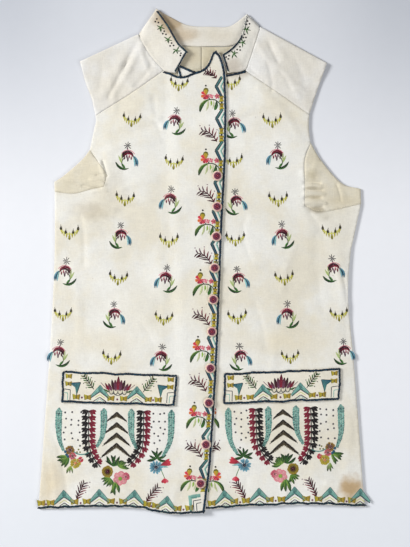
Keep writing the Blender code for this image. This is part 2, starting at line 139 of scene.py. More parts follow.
# Creases of the fronts and shoulders: from x, y to x, y, half width, height, sideways bow
CREASES = (
    (-87, 309, -106, 268, 3.2, -2.3, 0), (-104, 274, -128, 226, 2.4, -1.6, 0),
    (-80, 304, -101, 262, 4.2, 1.5, 0),
    (-98, 266, -122, 228, 3.4, 0.9, 0),
    (-100, 306, -136, 232, 7.0, 1.0, 3), (-84, 300, -73, 262, 2.8, 1.1, -2),
    (-78, 296, -66, 268, 2.4, -0.9, -2),
    (-70, 270, -92, 240, 2.4, -1.0, 2), (-62, 262, -84, 246, 2.0, 0.8, -1),
    (-112, 262, -74, 226, 5.0, 0.9, -4),
    (-146, 288, -152, 250, 4.0, 0.8, 2), (-138, 282, -142, 236, 3.4, -0.7, 2),
    (-126, 250, -120, 206, 4.5, 0.8, 2),
    (87, 316, 97, 294, 4.8, -2.6, 0), (94, 300, 105, 276, 2.8, -2.1, 0), (98, 314, 114, 282, 4.4, 1.5, 0),
    (76, 304, 92, 276, 4.0, 1.2, 0), (90, 276, 97, 236, 2.6, -1.1, 2),
    (100, 272, 134, 226, 4.5, 0.9, 4), (66, 268, 88, 248, 3.2, -0.9, -2), (122, 290, 142, 246, 5.0, -1.2, 3),
    (132, 292, 154, 258, 4.0, 0.9, -2), (108, 262, 122, 240, 3.0, -1.0, 1), (112, 250, 138, 238, 3.4, 0.9, 1),
    (141, 120, 160, 121, 4.6, 1.3, 2), (142, 108.5, 163, 108, 2.3, -2.4, 1),
    (142, 103, 164, 103, 2.4, 1.5, -1),
    (142, 99, 166, 98, 1.5, -1.4, -1), (143, 93, 168, 92, 2.8, 1.5, 1), (143, 87, 164, 88, 2.6, -2.4, 1),
    (143, 81, 170, 80, 2.0, 1.6, 1), (144, 76, 166, 75, 2.8, -2.5, -2), (156, 66, 170, 60, 3.0, 1.4, -2),
    (174, 78.5, 214, 77.5, 1.3, -0.8, 1), (186, 106, 192, 84, 1.8, -1.2, 1), (190, 106, 196, 86, 2.2, 0.7, 1),
    (150, 66, 168, 34, 4.0, -1.0, 2), (158, 138, 150, 104, 3.4, 0.8, -1),
    (-136, 138, -130, 118, 1.8, -2.0, 0), (-140, 136, -134, 118, 2.2, 1.7, 0),
    (-144, 119, -131, 117, 2.0, -1.7, 1),
    (-152, 112, -134, 106, 2.4, 1.4, 2), (-164, 104, -140, 101, 1.9, -1.5, -1),
    (-150, 96, -132, 97, 2.6, 0.9, 1),
    (-190, 112, -160, 108, 3.0, 0.8, 3), (-186, 106, -150, 100, 2.4, -0.6, 3),
    (-178, 122, -158, 130, 2.6, 0.7, 2),
    (-166, 60, -162, -4, 3.6, -0.9, 2), (-206, 20, -186, -10, 3.6, -0.9, 4),
    (-204, 2, -182, -24, 4.0, 0.8, 3),
    (192, -10, 201, -52, 2.4, -1.8, 1), (186, -6, 196, -56, 4.0, 1.3, 1), (196, -52, 202, -120, 5.0, -0.8, 2),
    (-150, 72, -128, 66, 3.0, -0.8, 1), (-160, 64, -130, 58, 3.6, 0.7, 2), (-196, 60, -140, 40, 6.0, 0.7, 5),
    (-190, 20, -100, 6, 6.0, -0.6, -5), (-120, 74, -70, 84, 4.0, 0.6, 4), (-116, 66, -60, 74, 3.4, -0.5, 5),
    (-108, 100, -62, 112, 4.0, 0.55, 3), (-186, -30, -100, -44, 6.0, 0.6, 6),
    (-96, 206, -58, 186, 3.2, -0.8, 3),
    (-92, 214, -60, 196, 4.0, 0.8, 3), (-130, 150, -60, 166, 5.0, 0.7, 6),
    (-120, 176, -50, 196, 4.6, -0.6, -5),
    (-66, 226, -56, 172, 3.4, -0.6, -2), (-128, -226, -60, -240, 6.0, -0.5, 4),
    (-196, -276, -120, -300, 5.5, 0.7, 5),
    (-206, -238, -186, -330, 3.4, -0.8, 5), (-214, -250, -202, -334, 3.8, 0.8, 4),
    (-150, -290, -96, -306, 4.0, -0.5, 3),
    (60, 160, 130, 150, 5.0, 0.7, -5), (56, 196, 120, 210, 5.0, -0.7, 4), (80, 236, 130, 176, 5.5, 0.8, 5),
    (70, 60, 150, 40, 6.0, 0.6, 6), (60, -20, 150, -8, 6.0, -0.55, -6), (96, 92, 140, 84, 3.6, -0.6, 3),
    (90, -86, 190, -100, 5.0, 0.6, 5), (60, -270, 130, -286, 5.0, 0.5, -4), (60, 60, 66, 8, 3.6, -0.7, -5),
    (150, -276, 206, -300, 5.0, -0.7, 4), (172, -306, 214, -322, 3.4, 1.0, 2),
    (164, -298, 216, -310, 3.0, -0.8, 2),
    (-176, -10, -170, -120, 6.0, 0.6, 4), (-60, 20, -54, -110, 7.0, 0.5, 4),
    (74, -60, 88, -116, 4.0, -0.6, 2),
    (160, 40, 168, -70, 6.0, -0.6, -4), (100, -100, 96, -150, 5.0, 0.5, 2), (128, 20, 112, -40, 4.6, 0.6, -4),
    (-60, -150, -110, -146, 4.0, -0.5, 0), (-214, -200, -196, -330, 7.0, 0.6, 3),
    (-84, -84, -60, -140, 4.0, -0.5, 4),
    (210, -200, 200, -330, 7.0, 0.6, -3), (-110, -300, -96, -338, 4.0, 0.8, 1),
    (206, -210, 212, -250, 3.0, -0.8, 2),
    (-30, -300, -44, -345, 5.0, 0.8, -1), (110, -300, 118, -334, 4.4, 0.7, 1),
    (62, -300, 56, -336, 4.0, -0.6, 1),
)

# The stand collar: x, y, z on the neck seam, then x, y, z on the upper edge
COLLAR_RIGHT_HALF = (
    (-35.5, 260.5, 7.0, -19.2, 288.7, 7.8),
    (-50.6, 264.6, 5.4, -32.6, 302.9, 7.8),
    (-70.7, 285.3, 5.2, -45.0, 325.0, 7.0),
    (-83.6, 311.6, 4.8, -60.4, 346.4, 5.6),
)
COLLAR_RIGHT_FOLD = ((-85.0, 314.6, 2.9, -61.7, 348.3, 3.2),)
COLLAR_BACK = (
    (-82.2, 312.6, 0.9, -59.6, 346.6, 1.1),
    (-66.0, 304.4, 0.8, -46.0, 338.6, 0.9),
    (-20.1, 297.3, 0.8, -18.8, 325.7, 0.9),
    (15.0, 296.9, 0.8, 14.0, 323.6, 0.9),
    (46.0, 299.6, 0.8, 39.2, 324.5, 0.9),
    (75.4, 322.6, 0.9, 60.0, 338.8, 1.1),
)
COLLAR_LEFT_FOLD = ((78.4, 325.4, 2.9, 62.0, 340.6, 3.2),)
COLLAR_LEFT_HALF = (
    (76.6, 321.0, 4.8, 61.2, 337.4, 5.6),
    (68.0, 290.2, 5.2, 54.4, 310.4, 6.8),
    (58.8, 265.6, 5.4, 42.0, 294.6, 7.4),
    (35.4, 260.8, 5.6, 28.2, 284.2, 7.0),
)

# Pocket flaps: corners top outer, top inner, bottom inner, bottom outer
FLAPS = {
    "right": ((-191.7, -150.7), (-33.3, -156.2), (-36.4, -199.0), (-193.2, -194.2)),
    "left": ((30.9, -153.9), (191.8, -146.7), (190.3, -190.3), (29.5, -196.6)),
}
BUTTONS = (
    (21.8, 117.7), (21.3, 75.3), (20.3, 34.4), (17.9, -9.0), (16.0, -52.3),
    (14.1, -96.6), (12.1, -146.7), (9.8, -194.3), (5.9, -251.6), (-1.4, -305.1),
)
BUTTON_RADIUS = 7.1
BUTTON_TOP = 3.9


def linear(red: float, green: float, blue: float) -> Colour:
    """Turn a display colour of 0 to 255 into the linear colour that shaders use."""
    shares = (channel / 255.0 for channel in (red, green, blue))
    return tuple(s / 12.92 if s <= 0.04045 else ((s + 0.055) / 1.055) ** 2.4 for s in shares)


def smooth(share: np.ndarray) -> np.ndarray:
    """Ease shares between 0 and 1 and hold them outside."""
    share = np.clip(share, 0.0, 1.0)
    return share * share * (3.0 - 2.0 * share)


def spline(points: Sequence[Sequence[float]], step: float = LINE_STEP,
           reach: slice = slice(0, 2)) -> np.ndarray:
    """Run a smooth curve through points.

    Args:
        points: Rows of any dimension.
        step: Greatest distance between the curve's points.
        reach: Columns whose distance counts for the step.

    Returns:
        The points of the curve, both ends included.
    """
    rows = np.asarray(points, dtype=float)
    rows = np.vstack([2 * rows[0] - rows[1], rows, 2 * rows[-1] - rows[-2]])
    curve = [rows[1]]
    for a, b, c, d in zip(rows, rows[1:], rows[2:], rows[3:]):
        count = max(1, round(float(np.linalg.norm((c - b)[reach])) / step))
        for t in (part / count for part in range(1, count + 1)):
            curve.append(0.5 * (2 * b + (c - a) * t + (2 * a - 5 * b + 4 * c - d) * t * t
                                + (3 * b - a - 3 * c + d) * t ** 3))
    return np.array(curve)


def line(name: str, step: float = LINE_STEP) -> np.ndarray:
    """Points of a named line; a leading minus turns it round."""
    curve = spline(LINES[name.lstrip("-")], step)
    return curve[::-1] if name.startswith("-") else curve


def outline(*names: str) -> np.ndarray:
    """Join named lines, end to end, into one closed loop."""
    return np.vstack([line(name)[:-1] for name in names])


def loop_area(loop: np.ndarray) -> float:
    """Signed area of a loop, positive when it runs anticlockwise."""
    after = np.roll(loop, -1, axis=0)
    return float(np.sum(loop[:, 0] * after[:, 1] - after[:, 0] * loop[:, 1]) / 2)


def inset(loop: np.ndarray, width: float) -> np.ndarray:
    """Move a closed loop inwards by a width, mitred at its corners."""
    if loop_area(loop) < 0:
        loop = loop[::-1]
    into = loop - np.roll(loop, 1, axis=0)
    into /= np.linalg.norm(into, axis=1, keepdims=True)
    out = np.roll(into, -1, axis=0)
    first = np.column_stack([-into[:, 1], into[:, 0]])
    miter = first + np.column_stack([-out[:, 1], out[:, 0]])
    scale = width / np.maximum(0.4, np.sum(miter * first, axis=1))
    return loop + miter * scale[:, None]


def offset_curve(curve: np.ndarray, width: float) -> np.ndarray:
    """Move an open curve to its left by a width."""
    along = np.gradient(curve, axis=0)
    along /= np.linalg.norm(along, axis=1, keepdims=True) + 1e-9
    return curve + np.column_stack([-along[:, 1], along[:, 0]]) * width


def edge_distance(spots: np.ndarray, loop: np.ndarray) -> np.ndarray:
    """Distance of each spot to a closed loop, negative outside it."""
    best = np.full(len(spots), np.inf)
    within = np.zeros(len(spots), dtype=bool)
    for a, b in zip(loop, np.roll(loop, -1, axis=0)):
        along = b - a
        if not along.any():
            continue
        share = np.clip(((spots - a) @ along) / (along @ along), 0.0, 1.0)
        gap = spots - a - share[:, None] * along
        best = np.minimum(best, np.hypot(gap[:, 0], gap[:, 1]))
        if along[1] != 0.0:
            crossing = (a[1] > spots[:, 1]) != (b[1] > spots[:, 1])
            within ^= crossing & (spots[:, 0] < a[0] + (spots[:, 1] - a[1]) / along[1] * along[0])
    return np.where(within, best, -best)


def grid_spots(loop: np.ndarray, spacing: float) -> np.ndarray:
    """Spots of a staggered grid that lie well inside a loop."""
    low, high = loop.min(axis=0), loop.max(axis=0)
    rows = np.arange(low[1], high[1], spacing * 0.87)
    spots = []
    for number, row in enumerate(rows):
        across = np.arange(low[0] + (number % 2) * spacing / 2, high[0], spacing)
        spots.append(np.column_stack([across, np.full(len(across), row)]))
    grid = np.vstack(spots)
    return grid[edge_distance(grid, loop) > spacing * 0.5]


@dataclass(frozen=True)
class Ripple:
    """Soft, uneven waves of cloth that was worn and folded.

    Attributes:
        seed: Picks the pattern.
        cell: Size of one wave in millimetres.
        depth: Greatest height in millimetres.
    """

    seed: int
    cell: float
    depth: float

    def __call__(self, x: np.ndarray, y: np.ndarray) -> np.ndarray:
        """Height of the waves at each place."""
        lattice = np.random.default_rng(self.seed).uniform(
            -1, 1, (int(900 / self.cell), int(1100 / self.cell)))
        u = (np.asarray(x, dtype=float) + 400) / self.cell
        v = (np.asarray(y, dtype=float) + 500) / self.cell
        i, j = np.floor(u).astype(int), np.floor(v).astype(int)
        s, t = smooth(u - i), smooth(v - j)
        i, j = i % (lattice.shape[0] - 1), j % (lattice.shape[1] - 1)
        low = lattice[i, j] * (1 - s) + lattice[i + 1, j] * s
        high = lattice[i, j + 1] * (1 - s) + lattice[i + 1, j + 1] * s
        return self.depth * (low * (1 - t) + high * t)


class LyingCloth:
    """The shape in which the fronts lie over the back."""

    ripples = (Ripple(3, 44.0, 0.75), Ripple(8, 19.0, 0.36), Ripple(21, 8.5, 0.13))

    @staticmethod
    def fold(x: np.ndarray, y: np.ndarray, row: Sequence[float]) -> np.ndarray:
        """Height of one soft ridge or trough.

        Args:
            x: Places across.
            y: Places along.
            row: Ends, half width, height and, in a crease, sideways bow.

        Returns:
            The height at each place.
        """
        x0, y0, x1, y1, width, height = row[:6]
        bow = row[6] if len(row) > 6 else 0.0
        dx, dy = x1 - x0, y1 - y0
        length = math.hypot(dx, dy)
        along = ((x - x0) * dx + (y - y0) * dy) / length
        share = np.clip(along / length, 0.0, 1.0)
        across = ((y - y0) * dx - (x - x0) * dy) / length - bow * 4 * share * (1 - share)
        beyond = along - share * length
        return height * np.exp(-(across ** 2 + beyond ** 2) / width ** 2)

    def sharp(self, x: np.ndarray, y: np.ndarray) -> np.ndarray:
        """Whether each place lies on one of the sharper creases."""
        near = np.zeros(np.shape(x), dtype=bool)
        for row in CREASES:
            if row[4] < 3.0 and abs(row[5]) > 0.8:
                near |= self.fold(x, y, (*row[:4], row[4] * 1.3, 1.0, row[6])) > 0.2
        return near

    def front(self, x: np.ndarray, y: np.ndarray) -> np.ndarray:
        """Middle surface of the fronts where only the back lies below."""
        table = np.array(HALF_WIDTHS, dtype=float)
        room = np.maximum(0.0, np.interp(y, table[:, 0], table[:, 1]) - np.abs(x))
        loft = LOFT * (1.0 - np.exp(-room / LOFT_EASE))
        ease = smooth((loft + 0.4) / 1.6)
        fine = sum(ripple(x, y) for ripple in self.ripples)
        fine = fine + sum(self.fold(x, y, row) for row in CREASES)
        return FRONT_MID + loft + sum(self.fold(x, y, row) for row in RIDGES) + fine * ease

    def lap(self, x: np.ndarray, y: np.ndarray) -> np.ndarray:
        """Middle surface of the right front, which climbs over the left front's edge."""
        hidden = np.array(sorted((point[1], point[0]) for point in LINES["left_edge"]), dtype=float)
        climb = smooth((x - np.interp(y, hidden[:, 0], hidden[:, 1]) + LAP_RUN) / (LAP_RUN - 2.0))
        return self.front(x, y) + (FRONT_WALL + LAP_GAP) * climb


CLOTH = LyingCloth()


# ---------------------------------------------------------------- shading


class Value:
    """A number socket on which shader maths is written as Python maths."""

    def __init__(self, shading: "Shading", socket: bpy.types.NodeSocket) -> None:
        """Wrap one output socket of a shading."""
        self.shading = shading
        self.socket = socket

    def _math(self, operation: str, first: "Value | float", second: "Value | float") -> "Value":
        """Add one Math node for an operation on two values."""
        return self.shading.node("ShaderNodeMath", {"operation": operation}, {0: first, 1: second})

    def __add__(self, other: "Value | float") -> "Value":
        """Sum of two values."""
        return self._math("ADD", self, other)

    def __sub__(self, other: "Value | float") -> "Value":
        """Difference of two values."""
        return self._math("SUBTRACT", self, other)

    def __rsub__(self, other: float) -> "Value":
        """Difference with a number on the left."""
        return self._math("SUBTRACT", other, self)

    def __mul__(self, other: "Value | float") -> "Value":
        """Product of two values."""
        return self._math("MULTIPLY", self, other)

    __radd__ = __add__
    __rmul__ = __mul__

    def ramp(self, low: float, high: float) -> "Value":
        """Rise smoothly from 0 at low to 1 at high; high may be the smaller one."""
        return self.shading.node("ShaderNodeMapRange", {"interpolation_type": "SMOOTHSTEP"},
                                 {"Value": self, "From Min": low, "From Max": high})


class Shading:
    """One material whose nodes are added by a single method."""

    def __init__(self, name: str) -> None:
        """Start a node material with an empty Principled shader."""
        self.material = bpy.data.materials.new(name)
        self.material.use_nodes = True
        self.tree = self.material.node_tree
        self.shader = self.tree.nodes["Principled BSDF"]

    def node(self, kind: str, settings: dict[str, object], sockets: dict[int | str, object],
             output: int | str = 0) -> Value:
        """Add a node.

        Args:
            kind: The node's type.
            settings: Properties, set before the sockets.
            sockets: Numbers, colours or links for its inputs.
            output: Which output to hand back.

        Returns:
            The output, wrapped for maths.
        """
        item = self.tree.nodes.new(kind)
        for key, value in settings.items():
            setattr(item, key, value)
        for key, value in sockets.items():
            if isinstance(value, Value):
                self.tree.links.new(value.socket, item.inputs[key])
            else:
                item.inputs[key].default_value = value
        return Value(self, item.outputs[output])

    def place(self) -> Value:
        """Object coordinates in metres."""
        return self.node("ShaderNodeTexCoord", {}, {}, "Object")

    def stretched(self, scale: tuple[float, float, float]) -> Value:
        """Object coordinates multiplied along each axis."""
        return self.node("ShaderNodeVectorMath", {"operation": "MULTIPLY"}, {0: self.place(), 1: scale})

    def noise(self, where: Value, scale: float, detail: float = 2.0) -> Value:
        """Cloudy noise of 0 to 1."""
        return self.node("ShaderNodeTexNoise", {}, {"Vector": where, "Scale": scale, "Detail": detail})

    def mix(self, share: Value | float, first: object, second: object, blend: str = "MIX") -> Value:
        """Mix two colours by a share."""
        return self.node("ShaderNodeMix", {"data_type": "RGBA", "blend_type": blend},
                         {0: share, 6: first, 7: second}, 2)

    def grey(self, value: Value) -> Value:
        """A grey colour as light as a value."""
        return self.node("ShaderNodeCombineColor", {}, {0: value, 1: value, 2: value})

    def bump(self, height: Value, depth: float) -> Value:
        """A normal from a height of 0 to 1 and its depth in metres."""
        return self.node("ShaderNodeBump", {}, {"Height": height, "Distance": depth, "Strength": 1.0})

    def feed(self, name: str, value: Value | float | tuple) -> None:
        """Link or set one input of the shader."""
        if isinstance(value, Value):
            self.tree.links.new(value.socket, self.shader.inputs[name])
        else:
            self.shader.inputs[name].default_value = value


@dataclass(frozen=True)
class StainOrShade:
    """A discoloured patch, a real mark on the cloth or painted shade in a crease trough: its centre, reach,
    strength and colour.
    """

    x: float
    y: float
    wide: float
    high: float
    strength: float
    colour: Colour


@dataclass(frozen=True)
class Linen:
    """Plain-woven linen that has aged.

    Attributes:
        name: The material's name.
        colour: Clean cloth.
        aged: Yellowed cloth.
        pitch: Distance between threads in millimetres.
        relief: Depth of the weave in millimetres.
        slub: How much thick and thin threads change the tone.
        ageing: Share of the cloth that has yellowed.
        stains_and_shade: Patches of its own, real discoloured marks and painted shade in crease troughs.
        roughness: Roughness of the yarn.
    """

    name: str
    colour: Colour
    aged: Colour
    pitch: float = 0.62
    relief: float = 0.09
    slub: float = 0.10
    ageing: float = 0.45
    stains_and_shade: tuple[StainOrShade, ...] = ()
    roughness: float = 0.86

    def material(self) -> bpy.types.Material:
        """Build the material of this linen."""
        shade = Shading(self.name)
        where = shade.place()
        warp, weft = (
            shade.node("ShaderNodeTexWave", {"wave_type": "BANDS", "bands_direction": axis},
                       {"Vector": where, "Scale": TAU / (20 * self.pitch * MM), "Distortion": 1.6,
                        "Detail": 1.0, "Detail Scale": 0.12})
            for axis in ("X", "Y")
        )
        across = shade.noise(shade.stretched((120.0, 820.0, 60.0)), 1.0, 2.5)
        along = shade.noise(shade.stretched((760.0, 110.0, 60.0)), 1.0, 2.5)
        cloudy = shade.noise(where, 11.0, 6.0)
        mottled = shade.noise(where, 62.0, 5.0)
        grainy = shade.noise(where, 420.0, 2.0)
        tone = 1.0 + (across - 0.5) * (self.slub * 1.25) + (along - 0.5) * self.slub
        tone = tone + (mottled - 0.5) * 0.16 + (grainy - 0.5) * 0.13 + (warp + weft - 1.0) * 0.022
        old = (cloudy * 0.75 + mottled * 0.25).ramp(0.58 - self.ageing * 0.4, 0.80 - self.ageing * 0.4)
        colour = shade.mix(old * 0.8, (*self.colour, 1.0), (*self.aged, 1.0))
        # Each patch is a real discoloured mark or painted shade in a crease trough.
        for stain_or_shade in self.stains_and_shade:
            colour = shade.mix(self._patch(shade, where, mottled, stain_or_shade), colour, (*stain_or_shade.colour, 1.0))
        specks = shade.noise(where, 330.0, 1.0).ramp(0.735, 0.80) * shade.noise(where, 16.0).ramp(0.52, 0.66)
        colour = shade.mix(specks * 0.45, colour, (*linear(150, 124, 84), 1.0))
        shade.feed("Base Color", shade.mix(1.0, colour, shade.grey(tone), "MULTIPLY"))
        height = (warp + weft) * 0.32 + (across + along) * 0.5
        shade.feed("Normal", shade.bump(height, self.relief * MM * 2.2))
        shade.feed("Roughness", self.roughness)
        shade.feed("Specular IOR Level", 0.25)
        shade.feed("Sheen Weight", 0.08)
        return shade.material

    @staticmethod
    def _patch(shade: Shading, where: Value, mottled: Value, stain_or_shade: StainOrShade) -> Value:
        """Mask of one patch, whether a real mark or painted shade, with an uneven rim."""
        centre = (stain_or_shade.x * MM, stain_or_shade.y * MM, 0.0)
        reach = (1.0 / (stain_or_shade.wide * MM), 1.0 / (stain_or_shade.high * MM), 0.0)
        moved = shade.node("ShaderNodeVectorMath", {"operation": "SUBTRACT"}, {0: where, 1: centre})
        scaled = shade.node("ShaderNodeVectorMath", {"operation": "MULTIPLY"}, {0: moved, 1: reach})
        away = shade.node("ShaderNodeVectorMath", {"operation": "LENGTH"}, {0: scaled}, "Value")
        return (away + (mottled - 0.5) * 1.3).ramp(1.15, 0.25) * stain_or_shade.strength


@dataclass(frozen=True)
class SilkThread:
    """Silk embroidery thread whose dye is carried by each stitch."""

    name: str
    roughness: float = 0.42

    def material(self) -> bpy.types.Material:
        """Build the material of this thread."""
        shade = Shading(self.name)
        dye = shade.node("ShaderNodeVertexColor", {"layer_name": "dye"}, {}, "Color")
        faded = shade.noise(shade.place(), 85.0, 3.0)
        strand = shade.noise(shade.place(), 2600.0, 1.0)
        tone = 0.97 + (faded - 0.5) * 0.3 + (strand - 0.5) * 0.22
        shade.feed("Base Color", shade.mix(1.0, dye, shade.grey(tone), "MULTIPLY"))
        shade.feed("Roughness", self.roughness)
        shade.feed("Specular IOR Level", 0.3)
        shade.feed("Sheen Weight", 0.04)
        shade.feed("Normal", shade.bump(strand, 0.00006))
        return shade.material


@dataclass(frozen=True)
class Backdrop:
    """Smooth pale paper under the waistcoat, with painted shade that greys it towards its far and near ends
    and most at its far corners.
    """

    colour: Colour = linear(228, 230, 235)
    # far and near are painted shade colours; colour is the paper's own.
    far: Colour = linear(182, 186, 194)
    near: Colour = linear(220, 224, 230)

    def material(self) -> bpy.types.Material:
        """Build the paper's material."""
        shade = Shading("pale_paper")
        grain = shade.noise(shade.place(), 60.0, 4.0)
        reach = shade.node("ShaderNodeSeparateXYZ", {}, {"Vector": shade.place()}, "Y")
        across = shade.node("ShaderNodeSeparateXYZ", {}, {"Vector": shade.place()}, "X")
        # Painted shade: greyer towards the far end, more so at the far corners, and greyer towards the near
        # end.
        painted_corner_shade = (across * across).ramp(0.006, 0.075)
        far = reach.ramp(0.02, 0.42) * (0.64 + painted_corner_shade * 0.36)
        colour = shade.mix(far, (*self.colour, 1.0), (*self.far, 1.0))
        colour = shade.mix(reach.ramp(-0.15, -0.46), colour, (*self.near, 1.0))
        shade.feed("Base Color", shade.mix(1.0, colour, shade.grey(0.985 + grain * 0.03), "MULTIPLY"))
        shade.feed("Roughness", 0.9)
        shade.feed("Specular IOR Level", 0.1)
        return shade.material


# ---------------------------------------------------------------- making meshes


def add_piece(name: str, verts: np.ndarray, faces: list, material: bpy.types.Material,
              nodes: Sequence[str] = ()) -> bpy.types.Object:
    """Make one piece of the waistcoat and hand it to the frame.

    Args:
        name: The piece's name.
        verts: Points in millimetres.
        faces: Point numbers of each face.
        material: Its finish.
        nodes: Solids that it stands for.

    Returns:
        The new object, riding on the root.
    """
    mesh = bpy.data.meshes.new(name)
    mesh.from_pydata((np.asarray(verts) * MM).tolist(), [], faces)
    mesh.shade_smooth()
    mesh.materials.append(material)
    item = bpy.data.objects.new(name, mesh)
    bpy.context.scene.collection.objects.link(item)
    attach(item, "root")
    if nodes:
        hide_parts(*nodes)
    LOG.info("%s: %d points, %d faces", name, len(mesh.vertices), len(mesh.polygons))
    return item


def flat_map(item: bpy.types.Object, sides: int) -> None:
    """Give a piece a map seen from above.

    Args:
        item: The piece.
        sides: 2 puts what faces down beside what faces up; 1 puts all in one.
    """
    mesh = item.data
    spots = np.empty(len(mesh.vertices) * 3)
    mesh.vertices.foreach_get("co", spots)
    spots = spots.reshape(-1, 3)[:, :2]
    spots = spots - spots.min(axis=0)
    width, length = spots.max(axis=0)
    unit = 0.98 / max(width * sides, length)
    corners = np.empty(len(mesh.loops), dtype=int)
    mesh.loops.foreach_get("vertex_index", corners)
    normals = np.empty(len(mesh.polygons) * 3)
    mesh.polygons.foreach_get("normal", normals)
    totals = np.empty(len(mesh.polygons), dtype=int)
    mesh.polygons.foreach_get("loop_total", totals)
    below = np.repeat(normals.reshape(-1, 3)[:, 2] < 0, totals)
    places = spots[corners] * unit + 0.005
    if sides == 2:
        places[below, 0] += width * unit + 0.008
    layer = mesh.uv_layers.new(name="OFBake")
    layer.data.foreach_set("uv", places.ravel())


def vertex_normals(middles: np.ndarray, faces: np.ndarray) -> np.ndarray:
    """Normals of a sheet's points from its triangles."""
    a, b, c = (middles[faces[:, k]] for k in range(3))
    across = np.cross(b - a, c - a)
    normals = np.zeros_like(middles)
    for k in range(3):
        np.add.at(normals, faces[:, k], across)
    return normals / np.maximum(1e-12, np.linalg.norm(normals, axis=1, keepdims=True))


def shell(middles: np.ndarray, normals: np.ndarray, faces: np.ndarray,
          wall: float) -> tuple[np.ndarray, list]:
    """Give a sheet its thickness, with a rounded rim.

    Args:
        middles: Points of the middle surface.
        normals: Normals there.
        faces: Triangles.
        wall: Thickness.

    Returns:
        The points and faces of the closed shell.
    """
    count = len(middles)
    directed = {(int(a), int(b)) for face in faces for a, b in zip(face, np.roll(face, -1))}
    rim = [(a, b) for a, b in directed if (b, a) not in directed]
    ends = np.array(rim)
    outward = np.zeros_like(middles)
    way = np.cross(middles[ends[:, 1]] - middles[ends[:, 0]], normals[ends[:, 0]])
    way /= np.maximum(1e-12, np.linalg.norm(way, axis=1, keepdims=True))
    np.add.at(outward, ends[:, 0], way)
    np.add.at(outward, ends[:, 1], way)
    at_rim = np.unique(ends)
    outward = outward[at_rim]
    outward /= np.maximum(1e-12, np.linalg.norm(outward, axis=1, keepdims=True))
    number = {int(v): count * 2 + k for k, v in enumerate(at_rim)}
    verts = np.vstack([middles + normals * wall / 2, middles - normals * wall / 2,
                       middles[at_rim] + outward * EDGE_ROUND])
    shell_faces = faces.tolist() + (faces[:, ::-1] + count).tolist()
    for a, b in rim:
        shell_faces.append([b, a, number[a], number[b]])
        shell_faces.append([number[b], number[a], a + count, b + count])
    return verts, shell_faces


def panel_faces(loop: np.ndarray, inner: np.ndarray) -> tuple[np.ndarray, np.ndarray]:
    """Triangles of a flat panel from its rim and inner spots."""
    count = len(loop)
    edges = [(index, (index + 1) % count) for index in range(count)]
    spots = [Vector(spot) for spot in np.vstack([loop, inner]).tolist()]
    points, _, faces, _, _, _ = delaunay_2d_cdt(spots, edges, [], 1, 1e-5)
    return np.array([tuple(p) for p in points]), np.array(faces, dtype=int)


@dataclass
class CutPanel:
    """A cut piece of cloth that lies face up.

    Attributes:
        name: The piece's name.
        nodes: Solids that it stands for.
        loop: Its outline.
        height: Middle surface of the cloth.
        wall: Thickness.
        linen: Its cloth.
        slot: Not used.
        rests_on: Not used.
        spacing: Distance between mesh points.
    """

    name: str
    nodes: tuple[str, ...]
    loop: np.ndarray
    height: Height
    wall: float
    linen: Linen
    slot: str
    rests_on: tuple[str, ...]
    spacing: float = CLOTH_GRID
    held: str = "laid"
    item: bpy.types.Object | None = None

    def build(self) -> bpy.types.Object:
        loop = inset(self.loop, SEAM_OPEN + EDGE_ROUND)
        coarse, fine = grid_spots(loop, self.spacing), grid_spots(loop, self.spacing * FINER)
        inner = np.vstack([coarse[~CLOTH.sharp(*coarse.T)], fine[CLOTH.sharp(*fine.T)]])
        spots, faces = panel_faces(loop, inner)
        x, y = spots[:, 0], spots[:, 1]
        middles = np.column_stack([x, y, self.height(x, y)])
        verts, shell_faces = shell(middles, vertex_normals(middles, faces), faces, self.wall)
        self.item = add_piece(self.name, verts, shell_faces, self.linen.material(), self.nodes)
        flat_map(self.item, 2)
        wide, high = (self.loop.max(axis=0) - self.loop.min(axis=0)) * MM
        abs(loop_area(self.loop)) * MM * MM
        return self.item


# ---------------------------------------------------------------- needlework


class Dye(Enum):
    """Thread colours of the embroidery."""

    NAVY = linear(12, 32, 50)
    BLUE = linear(30, 76, 100)
    SLATE = linear(58, 92, 96)
    TEAL = linear(76, 132, 124)
    PALE_TEAL = linear(140, 184, 172)
    SKY = linear(116, 172, 190)
    OLIVE = linear(112, 108, 24)
    YELLOW = linear(172, 162, 46)
    LIME = linear(200, 200, 108)
    OCHRE = linear(150, 120, 34)
    ORANGE = linear(214, 126, 54)
    CORAL = linear(204, 58, 74)
    PINK = linear(204, 104, 122)
    PALE_PINK = linear(224, 170, 170)
    CRIMSON = linear(140, 20, 50)
    MAROON = linear(76, 12, 32)
    BLACKISH = linear(15, 8, 12)
    PLUM = linear(110, 64, 90)
    GREEN = linear(58, 114, 38)
    DARK_GREEN = linear(18, 44, 22)
    LIGHT_GREEN = linear(138, 172, 74)
    FADED_GREEN = linear(182, 190, 142)
    KHAKI = linear(78, 68, 46)
    GREY = linear(76, 74, 78)
    CREAM = linear(226, 219, 196)


def arc(middle: Spot, reach: Spot, start: float, stop: float, steps: int = 5) -> list[Spot]:
    """Points along an ellipse from one direction to another, in degrees."""
    turns = np.radians(np.linspace(start, stop, steps))
    return [(middle[0] + reach[0] * math.cos(turn), middle[1] + reach[1] * math.sin(turn)) for turn in turns]


def ray(root: Spot, turn: float, length: float) -> Spot:
    """The point at a direction in degrees and a distance from a root."""
    return root[0] + length * math.cos(math.radians(turn)), root[1] + length * math.sin(math.radians(turn))


@dataclass(frozen=True)
class Place:
    """Where and how a motif is set: its origin, size, turn in degrees and mirroring."""

    x: float
    y: float
    size: float = 1.0
    turn: float = 0.0
    mirror: bool = False

    def put(self, spots: Iterable[Spot]) -> np.ndarray:
        """Turn a motif's own millimetres into the garment's."""
        rows = np.array(list(spots), dtype=float) * self.size
        if self.mirror:
            rows[:, 0] = -rows[:, 0]
        angle = math.radians(self.turn)
        across = rows[:, 0] * math.cos(angle) - rows[:, 1] * math.sin(angle)
        along = rows[:, 0] * math.sin(angle) + rows[:, 1] * math.cos(angle)
        return np.column_stack([across + self.x, along + self.y])


